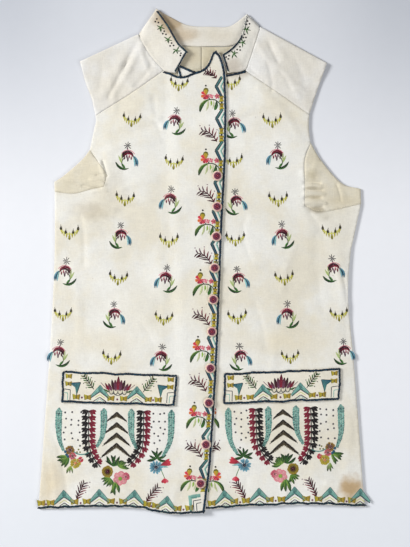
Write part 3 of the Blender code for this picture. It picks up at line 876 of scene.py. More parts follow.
class Needlework:
    """Stitches of one worked piece, gathered before they are laid on the cloth."""

    def __init__(self, name: str, seed: int) -> None:
        """Start a piece with its own hand."""
        self.name = name
        self.hand = random.Random(seed)
        self.stitches: list[tuple[float, ...]] = []
        self.knots: list[tuple[float, ...]] = []

    def dye(self, first: Dye, second: Dye | None = None, share: float = 0.0) -> Colour:
        """A thread's colour, a little lighter or darker than its neighbour's."""
        tone = self.hand.uniform(0.8, 1.14)
        other = (second or first).value
        return tuple(min(1.0, (a + (b - a) * share) * tone) for a, b in zip(first.value, other))

    def stitch(self, start: Sequence[float], end: Sequence[float], colour: Colour,
               width: float = 0.75, rise: float = 0.3, base: float = 0.05) -> None:
        """Lay one stitch.

        Args:
            start: Where the needle comes up.
            end: Where it goes down.
            colour: Its dye.
            width: Thread width.
            rise: How far its back stands above its base.
            base: How far it starts above the cloth.
        """
        if math.dist(start, end) > 0.25:
            self.stitches.append((*start, *end, width, rise, base, *colour))

    def knot(self, spot: Sequence[float], dye: Dye, radius: float = 0.9, rise: float = 0.55) -> None:
        """Set one small round knot."""
        self.knots.append((*spot, radius, rise, *self.dye(dye)))

    def stem(self, curve: np.ndarray, dye: Dye, width: float = 0.8, base: float = 0.1,
             length: float = 2.4) -> None:
        """Work a line of overlapping slanted stitches along a curve."""
        walk = np.concatenate([[0.0], np.cumsum(np.linalg.norm(np.diff(curve, axis=0), axis=1))])
        for start in np.arange(0.0, max(walk[-1] - length * 0.5, 0.1), length * 0.62):
            ends = []
            for at, side in ((start, -0.16), (min(start + length, walk[-1]), 0.16)):
                ends.append((np.interp(at, walk, curve[:, 0]) + side * width,
                             np.interp(at, walk, curve[:, 1]) + side * width))
            self.stitch(ends[0], ends[1], self.dye(dye), width, 0.32, base)

    def leaf(self, spots: np.ndarray, width: float, dye: Dye, tip: Dye | None = None,
             other: Dye | None = None,
             slant: float = 0.8, spacing: float = 0.62, thick: float = 0.5, base: float = 0.06) -> None:
        """Fill a leaf or petal with satin stitches.

        Args:
            spots: Its middle line from stalk to tip.
            width: Full width at the widest.
            dye: Colour at the stalk.
            tip: Colour at the tip.
            other: Colour of its second half, when its two halves differ.
            slant: How far the stitches lean to the tip.
            spacing: Distance between stitches.
            thick: Share of the length where it is widest.
            base: How far it starts above the cloth.
        """
        curve = spline(spots, 1.0)
        walk = np.concatenate([[0.0], np.cumsum(np.linalg.norm(np.diff(curve, axis=0), axis=1))])
        total = walk[-1]
        split = width > 3.0
        for at in np.arange(spacing * 0.4, total, spacing):
            share = at / total
            bulge = math.sin(math.pi * share ** (math.log(0.5) / math.log(thick))) ** 0.75
            half = max(0.3, width / 2 * bulge)
            here = np.array([np.interp(at, walk, curve[:, k]) for k in range(2)])
            ahead = np.array([np.interp(min(at + 0.5, total), walk, curve[:, k]) for k in range(2)])
            back = np.array([np.interp(max(at - 0.5, 0.0), walk, curve[:, k]) for k in range(2)])
            along = (ahead - back) / max(1e-6, np.linalg.norm(ahead - back))
            side = np.array([-along[1], along[0]])
            lean = along * half * slant
            ragged = self.hand.uniform(0.88, 1.08)
            left = here + side * half * ragged + (lean if split else lean * 0.5)
            right = here - side * half * ragged + (lean if split else -lean * 0.5)
            if split:
                vein = here + side * self.hand.uniform(-0.12, 0.12)
                self.stitch(vein, left, self.dye(dye, tip, share), 1.0, 0.26, base)
                self.stitch(vein, right, self.dye(other or dye, tip, share), 1.0, 0.26, base)
            else:
                self.stitch(right, left, self.dye(dye, tip, share), 1.0, 0.26, base)

    def fill(self, corners: np.ndarray, dye: Dye, angle: float, second: Dye | None = None,
             spacing: float = 0.66, longest: float = 6.0, base: float = 0.06) -> None:
        """Fill an outline with parallel stitches at an angle in degrees."""
        turn = math.radians(angle)
        frame_x = np.array([math.cos(turn), math.sin(turn)])
        frame_y = np.array([-math.sin(turn), math.cos(turn)])
        u, v = corners @ frame_x, corners @ frame_y
        for level in np.arange(v.min() + spacing / 2, v.max(), spacing):
            cuts = []
            for k in range(len(u)):
                m = (k + 1) % len(u)
                if (v[k] > level) != (v[m] > level):
                    cuts.append(u[k] + (level - v[k]) / (v[m] - v[k]) * (u[m] - u[k]))
            cuts.sort()
            for low, high in zip(cuts[::2], cuts[1::2]):
                parts = max(1, math.ceil((high - low) / longest))
                marks = np.linspace(low, high, parts + 1)
                marks[1:-1] += self.hand.uniform(-0.8, 0.8)
                share = (level - v.min()) / max(1e-6, v.max() - v.min())
                for a, b in zip(marks, marks[1:]):
                    self.stitch(frame_x * (a - 0.12) + frame_y * level,
                                frame_x * (b + 0.12) + frame_y * level,
                                self.dye(dye, second, share), spacing * 1.6, 0.28, base)

    def rope(self, curve: np.ndarray, dye: Dye, light: Dye, width: float = 2.8, pitch: float = 1.05,
             rise: float = 1.0, wander: float = 0.25, base: float = 0.02) -> None:
        """Work a raised edging of slanted stitches side by side along a curve."""
        walk = np.concatenate([[0.0], np.cumsum(np.linalg.norm(np.diff(curve, axis=0), axis=1))])
        drift = 0.0
        for at in np.arange(0.0, walk[-1], pitch):
            here = np.array([np.interp(at, walk, curve[:, k]) for k in range(2)])
            ahead = np.array([np.interp(min(at + 0.8, walk[-1]), walk, curve[:, k]) for k in range(2)])
            back = np.array([np.interp(max(at - 0.8, 0.0), walk, curve[:, k]) for k in range(2)])
            along = (ahead - back) / max(1e-6, np.linalg.norm(ahead - back))
            side = np.array([-along[1], along[0]])
            drift = 0.8 * drift + self.hand.uniform(-wander, wander)
            half = width / 2 * self.hand.uniform(0.86, 1.12)
            centre = here + side * drift
            share = max(0.0, self.hand.uniform(-0.9, 0.75))
            self.stitch(centre - side * half - along * half * 0.7, centre + side * half + along * half * 0.7,
                        self.dye(dye, light, share), 1.45, rise, base)

    def build(self, surface: Height, material: bpy.types.Material,
              slot: str = "silk_thread") -> bpy.types.Object:
        """Lay all stitches on the cloth as one piece.

        Args:
            surface: Height of the cloth's face at each place.
            material: The thread's finish.
            slot: Not used.

        Returns:
            The new piece.
        """
        verts, faces, dyes = [], [], []
        count = 0
        if self.stitches:
            rows = np.array(self.stitches)
            start, end, width, rise, base = rows[:, 0:2], rows[:, 2:4], rows[:, 4:5], rows[:, 5], rows[:, 6]
            along = end - start
            length = np.linalg.norm(along, axis=1, keepdims=True)
            side = np.column_stack([-along[:, 1], along[:, 0]]) / length * width / 2
            near, far = start + along * 0.09, start + along * 0.91
            flat = np.stack([start, near + side, near, near - side, far + side, far, far - side, end], axis=1)
            lifts = np.stack([base * 0, base * 0, base + rise, base * 0, base * 0, base + rise, base * 0,
                              base * 0],
                             axis=1)
            verts.append(np.concatenate([flat, lifts[:, :, None]], axis=2).reshape(-1, 3))
            pattern = ((0, 2, 1), (0, 3, 2), (1, 2, 5, 4), (2, 3, 6, 5), (4, 5, 7), (5, 6, 7))
            firsts = np.arange(len(rows)) * 8
            for part in pattern:
                faces += (firsts[:, None] + np.array(part)).tolist()
            dyes.append(np.repeat(rows[:, 7:10], 8, axis=0))
            count = len(rows) * 8
        if self.knots:
            rows = np.array(self.knots)
            turns = np.arange(7) * TAU / 7
            ring = np.stack([np.cos(turns), np.sin(turns)], axis=1)
            low = rows[:, None, 0:2] + ring[None] * rows[:, None, 2:3]
            high = rows[:, None, 0:2] + ring[None] * rows[:, None, 2:3] * 0.6
            flat = np.concatenate([low, high, rows[:, None, 0:2]], axis=1)
            lift = np.concatenate([np.zeros((len(rows), 7)), np.repeat(rows[:, 3:4] * 0.8, 7, axis=1),
                                   rows[:, 3:4]],
                                  axis=1)
            verts.append(np.concatenate([flat, lift[:, :, None]], axis=2).reshape(-1, 3))
            firsts = count + np.arange(len(rows)) * 15
            for k in range(7):
                m = (k + 1) % 7
                for part in ((k, m, 7 + m, 7 + k), (7 + k, 7 + m, 14)):
                    faces += (firsts[:, None] + np.array(part)).tolist()
            dyes.append(np.repeat(rows[:, 4:7], 15, axis=0))
        points = np.vstack(verts)
        points[:, 2] += surface(points[:, 0], points[:, 1])
        item = add_piece(self.name, points, faces, material)
        layer = item.data.color_attributes.new("dye", "FLOAT_COLOR", "POINT")
        paint = np.column_stack([np.vstack(dyes), np.ones(len(points))])
        layer.data.foreach_set("color", paint.ravel())
        flat_map(item, 1)
        return item


def over(height: Height, wall: float) -> Height:
    """Face of a cloth above its middle surface."""
    return lambda x, y: height(x, y) + wall / 2 - 0.02


def face_of(item: bpy.types.Object) -> Height:
    """Upper face of a built piece, carried on past its rim."""
    mesh = item.data
    tree = BVHTree.FromPolygons([v.co / MM for v in mesh.vertices],
                                [tuple(p.vertices) for p in mesh.polygons])

    def surface(x: np.ndarray, y: np.ndarray) -> np.ndarray:
        """Height of the piece's upper face at each place."""
        found = []
        for a, b in zip(x, y):
            hit = tree.ray_cast(Vector((a, b, 40.0)), Vector((0.0, 0.0, -1.0)))[0]
            found.append((hit or tree.find_nearest(Vector((a, b, 7.0)))[0]).z)
        return np.array(found)

    return surface


# ---------------------------------------------------------------- motifs


class Motifs:
    """The embroiderer's patterns, each worked in its own millimetres."""

    @staticmethod
    def sprig(work: Needlework, place: Place) -> None:
        """A leaning flower: grey star, crimson hood, drooping blue leaf and a foot of green leaves."""
        put = place.put
        star, hood = (1.0, 16.5), (2.6, -1.2)
        for number in range(8):
            turn = 45.0 * number + work.hand.uniform(-8, 8)
            ends = put([ray(star, turn, 1.0), ray(star, turn, work.hand.uniform(4.4, 6.2))])
            work.stitch(ends[0], ends[1], work.dye(Dye.GREY, Dye.BLACKISH, 0.5), 1.15, 0.3)
        work.knot(put([star])[0], Dye.GREY, 1.0)
        work.stem(put([(star[0], 14.0), (hood[0], 6.0)]), Dye.PLUM, 1.1)
        work.leaf(put(arc(hood, (7.8, 8.2), 12, 178)), 5.8, Dye.CRIMSON, Dye.BLACKISH, Dye.MAROON)
        work.stem(spline(put(arc(hood, (11.0, 11.8), 34, 148))), Dye.PINK, 0.8)
        for number, dye in enumerate((Dye.CRIMSON, Dye.PINK, Dye.PLUM, Dye.MAROON)):
            top = ray(hood, 36 + 36 * number, 5.6)
            work.leaf(put([top, (top[0], top[1] - 4.8)]), 2.2, dye, Dye.MAROON)
        work.leaf(put([(hood[0], 1.0), (hood[0], -5.4)]), 2.6, Dye.PLUM, Dye.BLACKISH)
        for wide, dye, tip in ((9.0, Dye.NAVY, Dye.BLUE), (11.0, Dye.SKY, Dye.BLUE),
                               (7.0, Dye.PALE_TEAL, Dye.SKY)):
            work.leaf(put(arc((5.6, -9.0), (wide, 13.4), 60, -10)), 2.7, dye, tip)
        work.stem(spline(put(arc((3.0, -7.4), (8.4, 8.6), 130, 240))), Dye.DARK_GREEN, 1.3)
        work.leaf(put(arc((-1.0, 2.0), (15.0, 18.0), 292, 210)), 3.5, Dye.DARK_GREEN, Dye.DARK_GREEN,
                  Dye.GREEN)
        foot = (-5.4, -8.4)
        for turn, length, dye in ((94, 14, Dye.FADED_GREEN), (116, 11.5, Dye.LIGHT_GREEN),
                                  (310, 8, Dye.GREEN)):
            work.leaf(put([foot, ray(foot, turn, length)]), 2.6, dye, Dye.FADED_GREEN if turn < 120 else dye)

    @staticmethod
    def festoon(work: Needlework, place: Place) -> None:
        """A shallow pale swag of hanging leaves, with four dark buds, their sprouts and one drop."""
        put = place.put
        middle, reach = (0.0, 4.2), (12.2, 8.4)
        work.stem(spline(put(arc(middle, reach, 202, 338))), Dye.LIME, 1.5)
        for number, (x, y) in enumerate(arc(middle, reach, 196, 344, 9)):
            drop = 3.2 + 2.4 * math.sin(math.pi * number / 8)
            work.leaf(put([(x, y + 2.6), (x * 0.97, y - drop)]), 2.1, (Dye.LIME, Dye.YELLOW)[number % 2],
                      Dye.YELLOW)
        for x, y in arc(middle, reach, 198, 342, 4):
            work.leaf(put([(x, y + 4.8), (x, y - 0.4)]), 3.3, Dye.KHAKI, Dye.BLACKISH, Dye.BLACKISH, base=0.3)
            work.stitch(*put([(x, y + 3.6), (x + work.hand.uniform(-0.6, 0.8), y + 7.0)]),
                        work.dye(Dye.KHAKI), 0.7)
        work.leaf(put([(0.0, -3.4), (0.2, -12.0)]), 3.2, Dye.YELLOW, Dye.OLIVE, Dye.OLIVE, thick=0.6)

    @staticmethod
    def spray(work: Needlework, place: Place, rib: Sequence[Spot], reach: Spot, spread: Spot) -> None:
        """A maroon fern: slim satin leaves in pairs along a bent rib.

        Args:
            work: The needlework it belongs to.
            place: Where it is set.
            rib: Its rib from stalk to tip.
            reach: Longest leaf to the left and to the right of the rib.
            spread: Angle of those leaves to the rib, in degrees.
        """
        curve = spline(rib, 1.0)
        work.stem(place.put(curve), Dye.MAROON, 1.4)
        for number in range(6):
            share = 0.05 + 0.93 * number / 5
            spot = min(int(share * (len(curve) - 1)), len(curve) - 2)
            root = (float(curve[spot][0]), float(curve[spot][1]))
            along = math.degrees(math.atan2(curve[spot + 1][1] - root[1], curve[spot + 1][0] - root[0]))
            for side, dye in enumerate((Dye.MAROON, Dye.PLUM if number > 3 else Dye.CRIMSON)):
                turn = along + (spread[0], -spread[1])[side]
                length = (reach[side] * (0.62 + 0.38 * math.sin(math.pi * share))
                          * work.hand.uniform(0.88, 1.1))
                bent = ray(root, turn + (-7, 7)[side], length * 0.5)
                work.leaf(place.put([root, bent, ray(root, turn, length)]), 1.9, Dye.BLACKISH, dye,
                          thick=0.45)
                if side and number % 2:
                    work.knot(place.put([ray(root, turn, length + 2.4)])[0], Dye.PLUM, 0.8)

    @staticmethod
    def border_flowers(work: Needlework, place: Place) -> None:
        """The border's sprig: coral and pink flowers, an ochre bud and arching green leaves."""
        put = place.put
        large, bud = (-26.0, 3.0), (-26.0, 9.4)
        work.stem(spline(put([(-27, -4.4), (-20, -2.8), (-12, -4.2), (-5, -11.5)])), Dye.DARK_GREEN, 1.3)
        work.stem(put([large, (-20.4, -2.8)]), Dye.MAROON, 1.2)
        for number, dye in enumerate((Dye.CORAL, Dye.ORANGE, Dye.CRIMSON, Dye.CORAL, Dye.PINK)):
            work.leaf(put([large, ray(large, 142 + 52 * number, 7.2 - 0.7 * number)]), 4.0, Dye.CORAL, dye,
                      thick=0.62)
        work.leaf(put([(large[0], 2.6), (large[0], 10.8)]), 6.2, Dye.ORANGE, Dye.YELLOW, Dye.OCHRE,
                  thick=0.45)
        work.stem(spline(put(arc(bud, (3.4, 3.8), 200, -20))), Dye.OLIVE, 1.2, 0.3)
        work.leaf(put(arc(bud, (2.6, 2.6), 150, 30)), 2.6, Dye.OLIVE, Dye.KHAKI)
        work.knot(put([ray(bud, 90, 6.8)])[0], Dye.BLACKISH, 1.4, 0.7)
        for centre, petals, reach in (((-18.4, 1.4), 4, 3.2), ((-10.6, 1.4), 5, 3.7)):
            for number in range(petals):
                dye = ((Dye.PALE_PINK, Dye.PINK)[number % 2] if petals == 4
                       else (Dye.CRIMSON, Dye.PINK)[number % 2])
                work.leaf(put([centre, ray(centre, 24 + 360 * number / petals, reach)]), 3.0, dye, Dye.PINK,
                          thick=0.6)
        work.knot(put([(-10.6, 1.4)])[0], Dye.OCHRE, 0.9)
        work.leaf(put(arc((-20.5, -21.0), (14.0, 17.4), 96, 176)), 5.0, Dye.GREEN, Dye.DARK_GREEN,
                  Dye.LIGHT_GREEN)
        work.stem(spline(put(arc((-20.5, -21.0), (14.8, 18.2), 96, 174))), Dye.DARK_GREEN, 1.2)
        for x, turn, length, width, dye in (
                (-11.4, 258, 13.6, 4.7, Dye.GREEN), (-15.6, 262, 11.0, 1.9, Dye.FADED_GREEN),
                (-19.0, 268, 7.0, 2.7, Dye.LIGHT_GREEN), (-23.0, 258, 14.0, 3.0, Dye.FADED_GREEN)):
            root = (x, -4.4)
            work.leaf(put([root, ray(root, turn + 8, length * 0.5), ray(root, turn, length)]), width,
                      Dye.DARK_GREEN if width > 4 else dye, dye)

    @staticmethod
    def bow(work: Needlework, place: Place) -> None:
        """A small olive bow with a darker knot."""
        corners = place.put([(-4.2, 3.4), (0, 2.2), (4.2, 3.4), (3.3, -3.2), (0, -2.0), (-3.3, -3.2)])
        work.fill(corners, Dye.OCHRE, place.turn + 90, Dye.YELLOW)
        for side in (-1, 1):
            work.stem(place.put([(side * 4.2, 3.2), (side * 3.3, -3.2)]), Dye.OLIVE, 0.9, 0.25)
        work.stitch(*place.put([(-0.2, 2.2), (0.2, -2.2)]), work.dye(Dye.KHAKI), 1.3, 0.35, 0.3)

    @staticmethod
    def edge_chevron(work: Needlework, place: Place) -> None:
        """One angle of the border's ribbon, pointing away from the edge, with its pair of bows."""
        put = place.put
        outer = ((-4.4, 14.6), (-13.4, 0.6), (-5.8, -14.0))
        inner = ((-2.2, 13.0), (-9.8, 0.6), (-3.6, -12.8))
        work.fill(put([outer[0], outer[1], inner[1], inner[0]]), Dye.SLATE,
                  place.turn + (24 if place.mirror else -24),
                  Dye.TEAL)
        work.fill(put([outer[1], outer[2], inner[2], inner[1]]), Dye.BLUE,
                  place.turn + (-30 if place.mirror else 30),
                  Dye.SLATE)
        for row, width in ((outer, 1.5), (inner, 1.1)):
            work.stem(put(row[0:2]), Dye.NAVY, width, 0.2)
            work.stem(put(row[1:3]), Dye.NAVY, width, 0.2)
        work.fill(put([(-1.6, 9.4), (-6.6, 0.4), (-4.2, 0.4), (-0.2, 8.0)]), Dye.PALE_TEAL, place.turn + 10)
        work.fill(put([(-6.6, 0.4), (-2.4, -8.6), (-1.0, -7.4), (-4.2, 0.4)]), Dye.PALE_TEAL, place.turn - 10)
        work.stem(put([(-0.6, 8.4), (-4.4, 0.4)]), Dye.NAVY, 0.6)
        work.stem(put([(-4.4, 0.4), (-1.2, -7.8)]), Dye.NAVY, 0.6)
        for y in (-16.6, -27.0):
            Motifs.bow(work, Place(*put([(-4.9, y)])[0], place.size * 1.0, place.turn + 90, place.mirror))
        work.knot(put([(-4.6, -21.8)])[0], Dye.NAVY, 1.5)
        work.stem(put([(-8.6, -14.4), (-8.2, -29.0)]), Dye.PALE_TEAL, 0.6)
        work.stem(put([(-1.2, -14.4), (-1.0, -29.0)]), Dye.OLIVE, 0.7)

    @staticmethod
    def hem_peak(work: Needlework, place: Place) -> None:
        """One pointed arch of the hem border, heavy at its point, with the small arches below it."""
        put = place.put
        for side in (-1, 1):
            roof = put([(0, 0.6), (side * 7.6, -8.0), (side * 13.2, -15.4), (side * 12.4, -17.2), (0, -8.0)])
            lean = (-42 if side > 0 else 42) * (-1 if place.mirror else 1)
            work.fill(roof, Dye.TEAL, place.turn + lean, Dye.PALE_TEAL)
            core = put([(0, 0.2), (side * 3.0, -3.4), (side * 2.2, -7.0), (0, -7.6)])
            work.fill(core, Dye.SLATE, place.turn + lean, Dye.TEAL, base=0.25)
            work.stem(put([(0, 0.8), (side * 13.6, -15.4)]), Dye.SLATE, 0.8, 0.2)
            work.stem(put([(0, -8.4), (side * 13.0, -17.8)]), Dye.NAVY, 1.3, 0.2)
            work.stem(put([(0, -12.4), (side * 6.6, -17.0)]), Dye.LIME, 0.8)
            work.stem(put([(0, -16.2), (side * 8.8, -22.0)]), Dye.NAVY, 1.2)
            work.stem(put([(0, -18.4), (side * 5.4, -22.0)]), Dye.PALE_TEAL, 0.9)

    @staticmethod
    def rosette(work: Needlework, place: Place, petals: int, reach: float, width: float, dye: Dye, tip: Dye,
                heart: Dye, core: float = 1.8) -> None:
        """A round flower of equal petals about a dark heart."""
        for petal in range(petals):
            angle = TAU * petal / petals + work.hand.uniform(-0.1, 0.1)
            way = np.array([math.cos(angle), math.sin(angle)])
            ends = place.put([tuple(way * core * 0.7), tuple(way * reach * work.hand.uniform(0.92, 1.06))])
            work.leaf(ends, width, dye, tip, thick=0.6, slant=0.5)
        for turn in range(10):
            angle = TAU * turn / 10
            ends = place.put([(0, 0), (core * math.cos(angle), core * math.sin(angle))])
            work.stitch(ends[0], ends[1], work.dye(heart), 0.9, 0.4, 0.3)
        work.knot(place.put([(0, 0)])[0], Dye.PALE_PINK, 0.6, 1.0)

    @staticmethod
    def leafy_star(work: Needlework, place: Place, leaves: int, reach: float, start: float, sweep: float,
                   dye: Dye = Dye.GREEN, other: Dye = Dye.LIGHT_GREEN) -> None:
        """A fan of pointed green leaves from one stalk.

        Args:
            work: The needlework it belongs to.
            place: Where it is set.
            leaves: How many leaves it has.
            reach: Length of a leaf.
            start: Direction of the first leaf in degrees.
            sweep: Angle over which they fan.
            dye: Colour of one half of a leaf.
            other: Colour of the other half.
        """
        for number in range(leaves):
            angle = math.radians(start + sweep * number / max(1, leaves - 1))
            size = reach * work.hand.uniform(0.78, 1.08)
            way = np.array([math.cos(angle), math.sin(angle)])
            bend = np.array([-way[1], way[0]]) * work.hand.uniform(-0.12, 0.12) * size
            spots = [(0, 0), tuple(way * size * 0.5 + bend), tuple(way * size)]
            work.leaf(place.put(spots), max(1.3, size * 0.27), dye, Dye.DARK_GREEN, other, thick=0.45)


class PocketGarlands:
    """The hanging ribbons, leaf garlands and posies below one pocket flap."""

    # x of the top, how far the foot swings to the side, and length
    ribbons = ((-80, 7, 62), (-18, -9, 56), (20, 8, 58), (75, -11, 68))
    garlands = ((-38.5, 17, 84), (37, -21, 82))
    arches = tuple((-7.5 - 14.2 * number, 15.0 + 2.4 * number) for number in range(4))
    # x of each column of dots, and how many it has
    dots = ((-71, 5), (-61, 6), (-51, 6), (50, 5), (58, 6), (66, 4))

    def __init__(self, work: Needlework, place: Place) -> None:
        """Take the needlework and the middle of the flap's lower edge."""
        self.work = work
        self.place = place

    def at(self, x: float, y: float, size: float = 1.0) -> Place:
        """A place in the garland's own millimetres."""
        x, y = self.place.put([(x, y)])[0]
        return Place(float(x), float(y), size * self.place.size, self.place.turn, self.place.mirror)

    def ribbon(self, spots: Sequence[Spot], width: float = 9.0) -> None:
        """A broad teal ribbon worked across in three rows, narrower at its foot."""
        work = self.work
        curve = spline(self.place.put(spots), 1.0)
        walk = np.concatenate([[0.0], np.cumsum(np.linalg.norm(np.diff(curve, axis=0), axis=1))])
        along = np.gradient(curve, axis=0)
        along /= np.linalg.norm(along, axis=1, keepdims=True)
        for at in np.arange(0.3, walk[-1], 0.62):
            share = at / walk[-1]
            here = np.array([np.interp(at, walk, curve[:, k]) for k in range(2)])
            way = np.array([np.interp(at, walk, along[:, k]) for k in range(2)])
            side = np.array([-way[1], way[0]])
            half = width / 2 * (1.0 - 0.6 * max(0.0, share - 0.4) / 0.6) * min(1.0, 0.15 + share * 11)
            marks = np.linspace(-half, half, 4) + work.hand.uniform(-0.7, 0.7)
            marks[0], marks[-1] = -half, half
            for number, (a, b) in enumerate(zip(marks, marks[1:])):
                fleck = work.hand.random()
                dye = work.dye(Dye.TEAL, Dye.NAVY,
                               0.7 if fleck < (0.22 if number == 1 else 0.12) else 0.1 * fleck)
                if fleck > 0.42:
                    dye = work.dye(Dye.TEAL, Dye.PALE_TEAL, 0.75)
                work.stitch(here + side * a + way * 0.5, here + side * b - way * 0.1, dye, 0.85, 0.32)
            if work.hand.random() < 0.35:
                end = half * work.hand.choice((-1, 1))
                work.stitch(here + side * end - way * 0.5, here + side * end + way * 0.6,
                            work.dye(Dye.SLATE, Dye.BLUE, work.hand.random()), 0.8, 0.3, 0.2)

    def garland(self, spots: Sequence[Spot]) -> None:
        """A hanging garland of paired heart-shaped leaves, near black on one side and maroon on the other."""
        curve = spline(self.place.put(spots), 1.0)
        walk = np.concatenate([[0.0], np.cumsum(np.linalg.norm(np.diff(curve, axis=0), axis=1))])
        pairs = round(float(walk[-1]) / 8.1)
        flip = -1 if self.place.mirror else 1
        for pair in range(pairs):
            at = walk[-1] * pair / pairs
            here = np.array([np.interp(at, walk, curve[:, k]) for k in range(2)])
            ahead = np.array([np.interp(min(at + 5, walk[-1]), walk, curve[:, k]) for k in range(2)])
            way = (ahead - here) / max(1e-6, np.linalg.norm(ahead - here))
            side = np.array([-way[1], way[0]]) * flip
            size = (9.4 - 2.4 * max(0.0, at / walk[-1] - 0.5) / 0.5) * self.place.size
            for half, dye, tip in ((1, Dye.MAROON, Dye.CRIMSON), (-1, Dye.BLACKISH, Dye.BLACKISH)):
                for across, down, width in ((1.08, 0.06, 3.5), (0.98, 0.48, 3.7), (0.56, 0.78, 3.2)):
                    end = here + side * half * size * across + way * size * down
                    bend = here + side * half * size * across * 0.5 + way * size * (down * 0.44 - 0.06)
                    root = here - side * half * 0.5
                    self.work.leaf(np.array([root, bend, end]), width, dye, tip, thick=0.62, slant=0.4)
            self.work.stem(np.array([here - way * 0.6, here + way * 8.2]), Dye.BLACKISH, 1.5, 0.25)

    def arch(self, y: float, half: float) -> None:
        """One khaki angle, thick at its point, with a dark upper edge and a light lower one."""
        put = self.place.put
        for side in (-1, 1):
            foot = y - half * 0.98
            limb = put([(0, y), (side * half * 0.55, y - half * 0.46), (side * half, foot),
                        (side * half * 0.5, foot + half * 0.3),
                        (0, y - 7.2)])
            lean = (-43 if side > 0 else 43) * (-1 if self.place.mirror else 1)
            self.work.fill(limb, Dye.KHAKI, self.place.turn + lean, Dye.BLACKISH, 0.6)
            self.work.stem(put([(0, y - 0.3), (side * half * 0.9, y - half * 0.84)]), Dye.BLACKISH, 1.2, 0.2)
            self.work.stem(put([(0, y - 6.8), (side * half * 0.6, y - 6.6 - half * 0.42)]), Dye.CREAM, 0.6,
                           0.15)

    def posies(self) -> None:
        """The three bunches of flowers at the foot of the garlands."""
        work = self.work
        Motifs.rosette(work, self.at(-64.0, -61.2), 9, 6.4, 3.8, Dye.MAROON, Dye.OCHRE, Dye.MAROON, 2.0)
        Motifs.rosette(work, self.at(-60.4, -69.0, 0.9), 7, 5.6, 3.4, Dye.CRIMSON, Dye.PINK, Dye.MAROON, 1.6)
        for x, y in ((-68.6, -67.6), (-66.6, -70.0), (-70.2, -63.4)):
            work.knot(self.at(x, y).put([(0, 0)])[0], Dye.BLUE, 2.2, 0.8)
        put = self.place.put
        work.stem(spline(put(arc((-48, -58), (13, 9), 215, 320))), Dye.TEAL, 1.6)
        for x, y in arc((-52, -62.5), (2.4, 2.4), 90, 330, 3):
            work.knot(put([(x, y)])[0], Dye.OLIVE, 1.3)
        Motifs.rosette(work, self.at(-49, -74, 0.7), 5, 5.0, 3.8, Dye.CRIMSON, Dye.CORAL, Dye.CORAL, 1.0)
        Motifs.rosette(work, self.at(-56, -79, 0.9), 7, 7.6, 5.2, Dye.OCHRE, Dye.YELLOW, Dye.ORANGE, 1.8)
        Motifs.leafy_star(work, self.at(-65, -70), 5, 17, 184, 64, Dye.GREEN, Dye.LIGHT_GREEN)
        Motifs.leafy_star(work, self.at(-63, -83), 3, 12, 244, 44, Dye.LIGHT_GREEN, Dye.FADED_GREEN)
        self._middle_posy()
        self._inner_posy()

    def _middle_posy(self) -> None:
        """The largest bunch, between the two garlands."""
        work, put = self.work, self.place.put
        Motifs.leafy_star(work, self.at(-3.6, -82.6), 6, 15.5, 38, 108, Dye.DARK_GREEN, Dye.GREEN)
        Motifs.leafy_star(work, self.at(4.6, -84, 0.95), 7, 13.5, -6, 128)
        Motifs.leafy_star(work, self.at(5.6, -83, 0.8), 4, 11.5, 6, 66, Dye.LIGHT_GREEN, Dye.GREEN)
        Motifs.leafy_star(work, self.at(-8.4, -98.4), 6, 13, 190, 100, Dye.GREEN, Dye.LIGHT_GREEN)
        Motifs.leafy_star(work, self.at(-1, -103), 3, 18, 250, 40, Dye.GREEN, Dye.LIGHT_GREEN)
        Motifs.rosette(work, self.at(-11.8, -90), 15, 8.0, 4.0, Dye.OLIVE, Dye.OCHRE, Dye.MAROON, 3.2)
        Motifs.rosette(work, self.at(-11.8, -90, 0.6), 11, 7.4, 3.2, Dye.BLACKISH, Dye.MAROON, Dye.MAROON,
                       2.4)
        for petal in range(6):
            angle = TAU * petal / 6 + 0.35
            x, y = 6.2 + 5.6 * math.cos(angle), -99.0 + 5.4 * math.sin(angle)
            Motifs.rosette(work, self.at(x, y, 0.72), 8, 5.8, 4.2, Dye.PALE_PINK, Dye.PINK, Dye.PALE_PINK,
                           1.2)
        Motifs.rosette(work, self.at(13.6, -96.6, 0.8), 8, 6.8, 4.2, Dye.CRIMSON, Dye.PINK, Dye.MAROON, 1.5)
        for turn in range(8):
            angle = TAU * turn / 8
            work.knot(put([(5.8 + 1.9 * math.cos(angle), -99.4 + 1.9 * math.sin(angle))])[0],
                      Dye.LIGHT_GREEN, 1.1, 1.1)
        work.knot(put([(5.8, -99.4)])[0], Dye.LIGHT_GREEN, 1.4, 1.2)

    def _inner_posy(self) -> None:
        """The bunch with a tulip and a blue flower, next to the front edge."""
        work, put = self.work, self.place.put
        Motifs.leafy_star(work, self.at(56, -71), 7, 13.5, -14, 208, Dye.DARK_GREEN, Dye.GREEN)
        Motifs.rosette(work, self.at(55, -83), 13, 9.4, 3.2, Dye.BLUE, Dye.SKY, Dye.NAVY, 2.4)
        tulip, bell = (59.0, -81.0), (67.0, -98.0)
        for turn in (34, 8, 21):
            tip = ray(tulip, turn, 17)
            work.leaf(put([tulip, ray(tulip, turn * 0.6 + 8, 9), tip]), 4.4, Dye.MAROON, Dye.CORAL,
                      Dye.CRIMSON, thick=0.6)
        work.leaf(put([tulip, ray(tulip, -8, 13)]), 3.0, Dye.SKY, Dye.PALE_TEAL)
        work.stem(spline(put([(61, -85), (63.6, -90), bell])), Dye.GREEN, 0.9)
        for turn, dye in ((240, Dye.CRIMSON), (275, Dye.CORAL), (310, Dye.PINK)):
            work.leaf(put([bell, ray(bell, turn, 7)]), 3.8, Dye.CORAL, dye, thick=0.6)

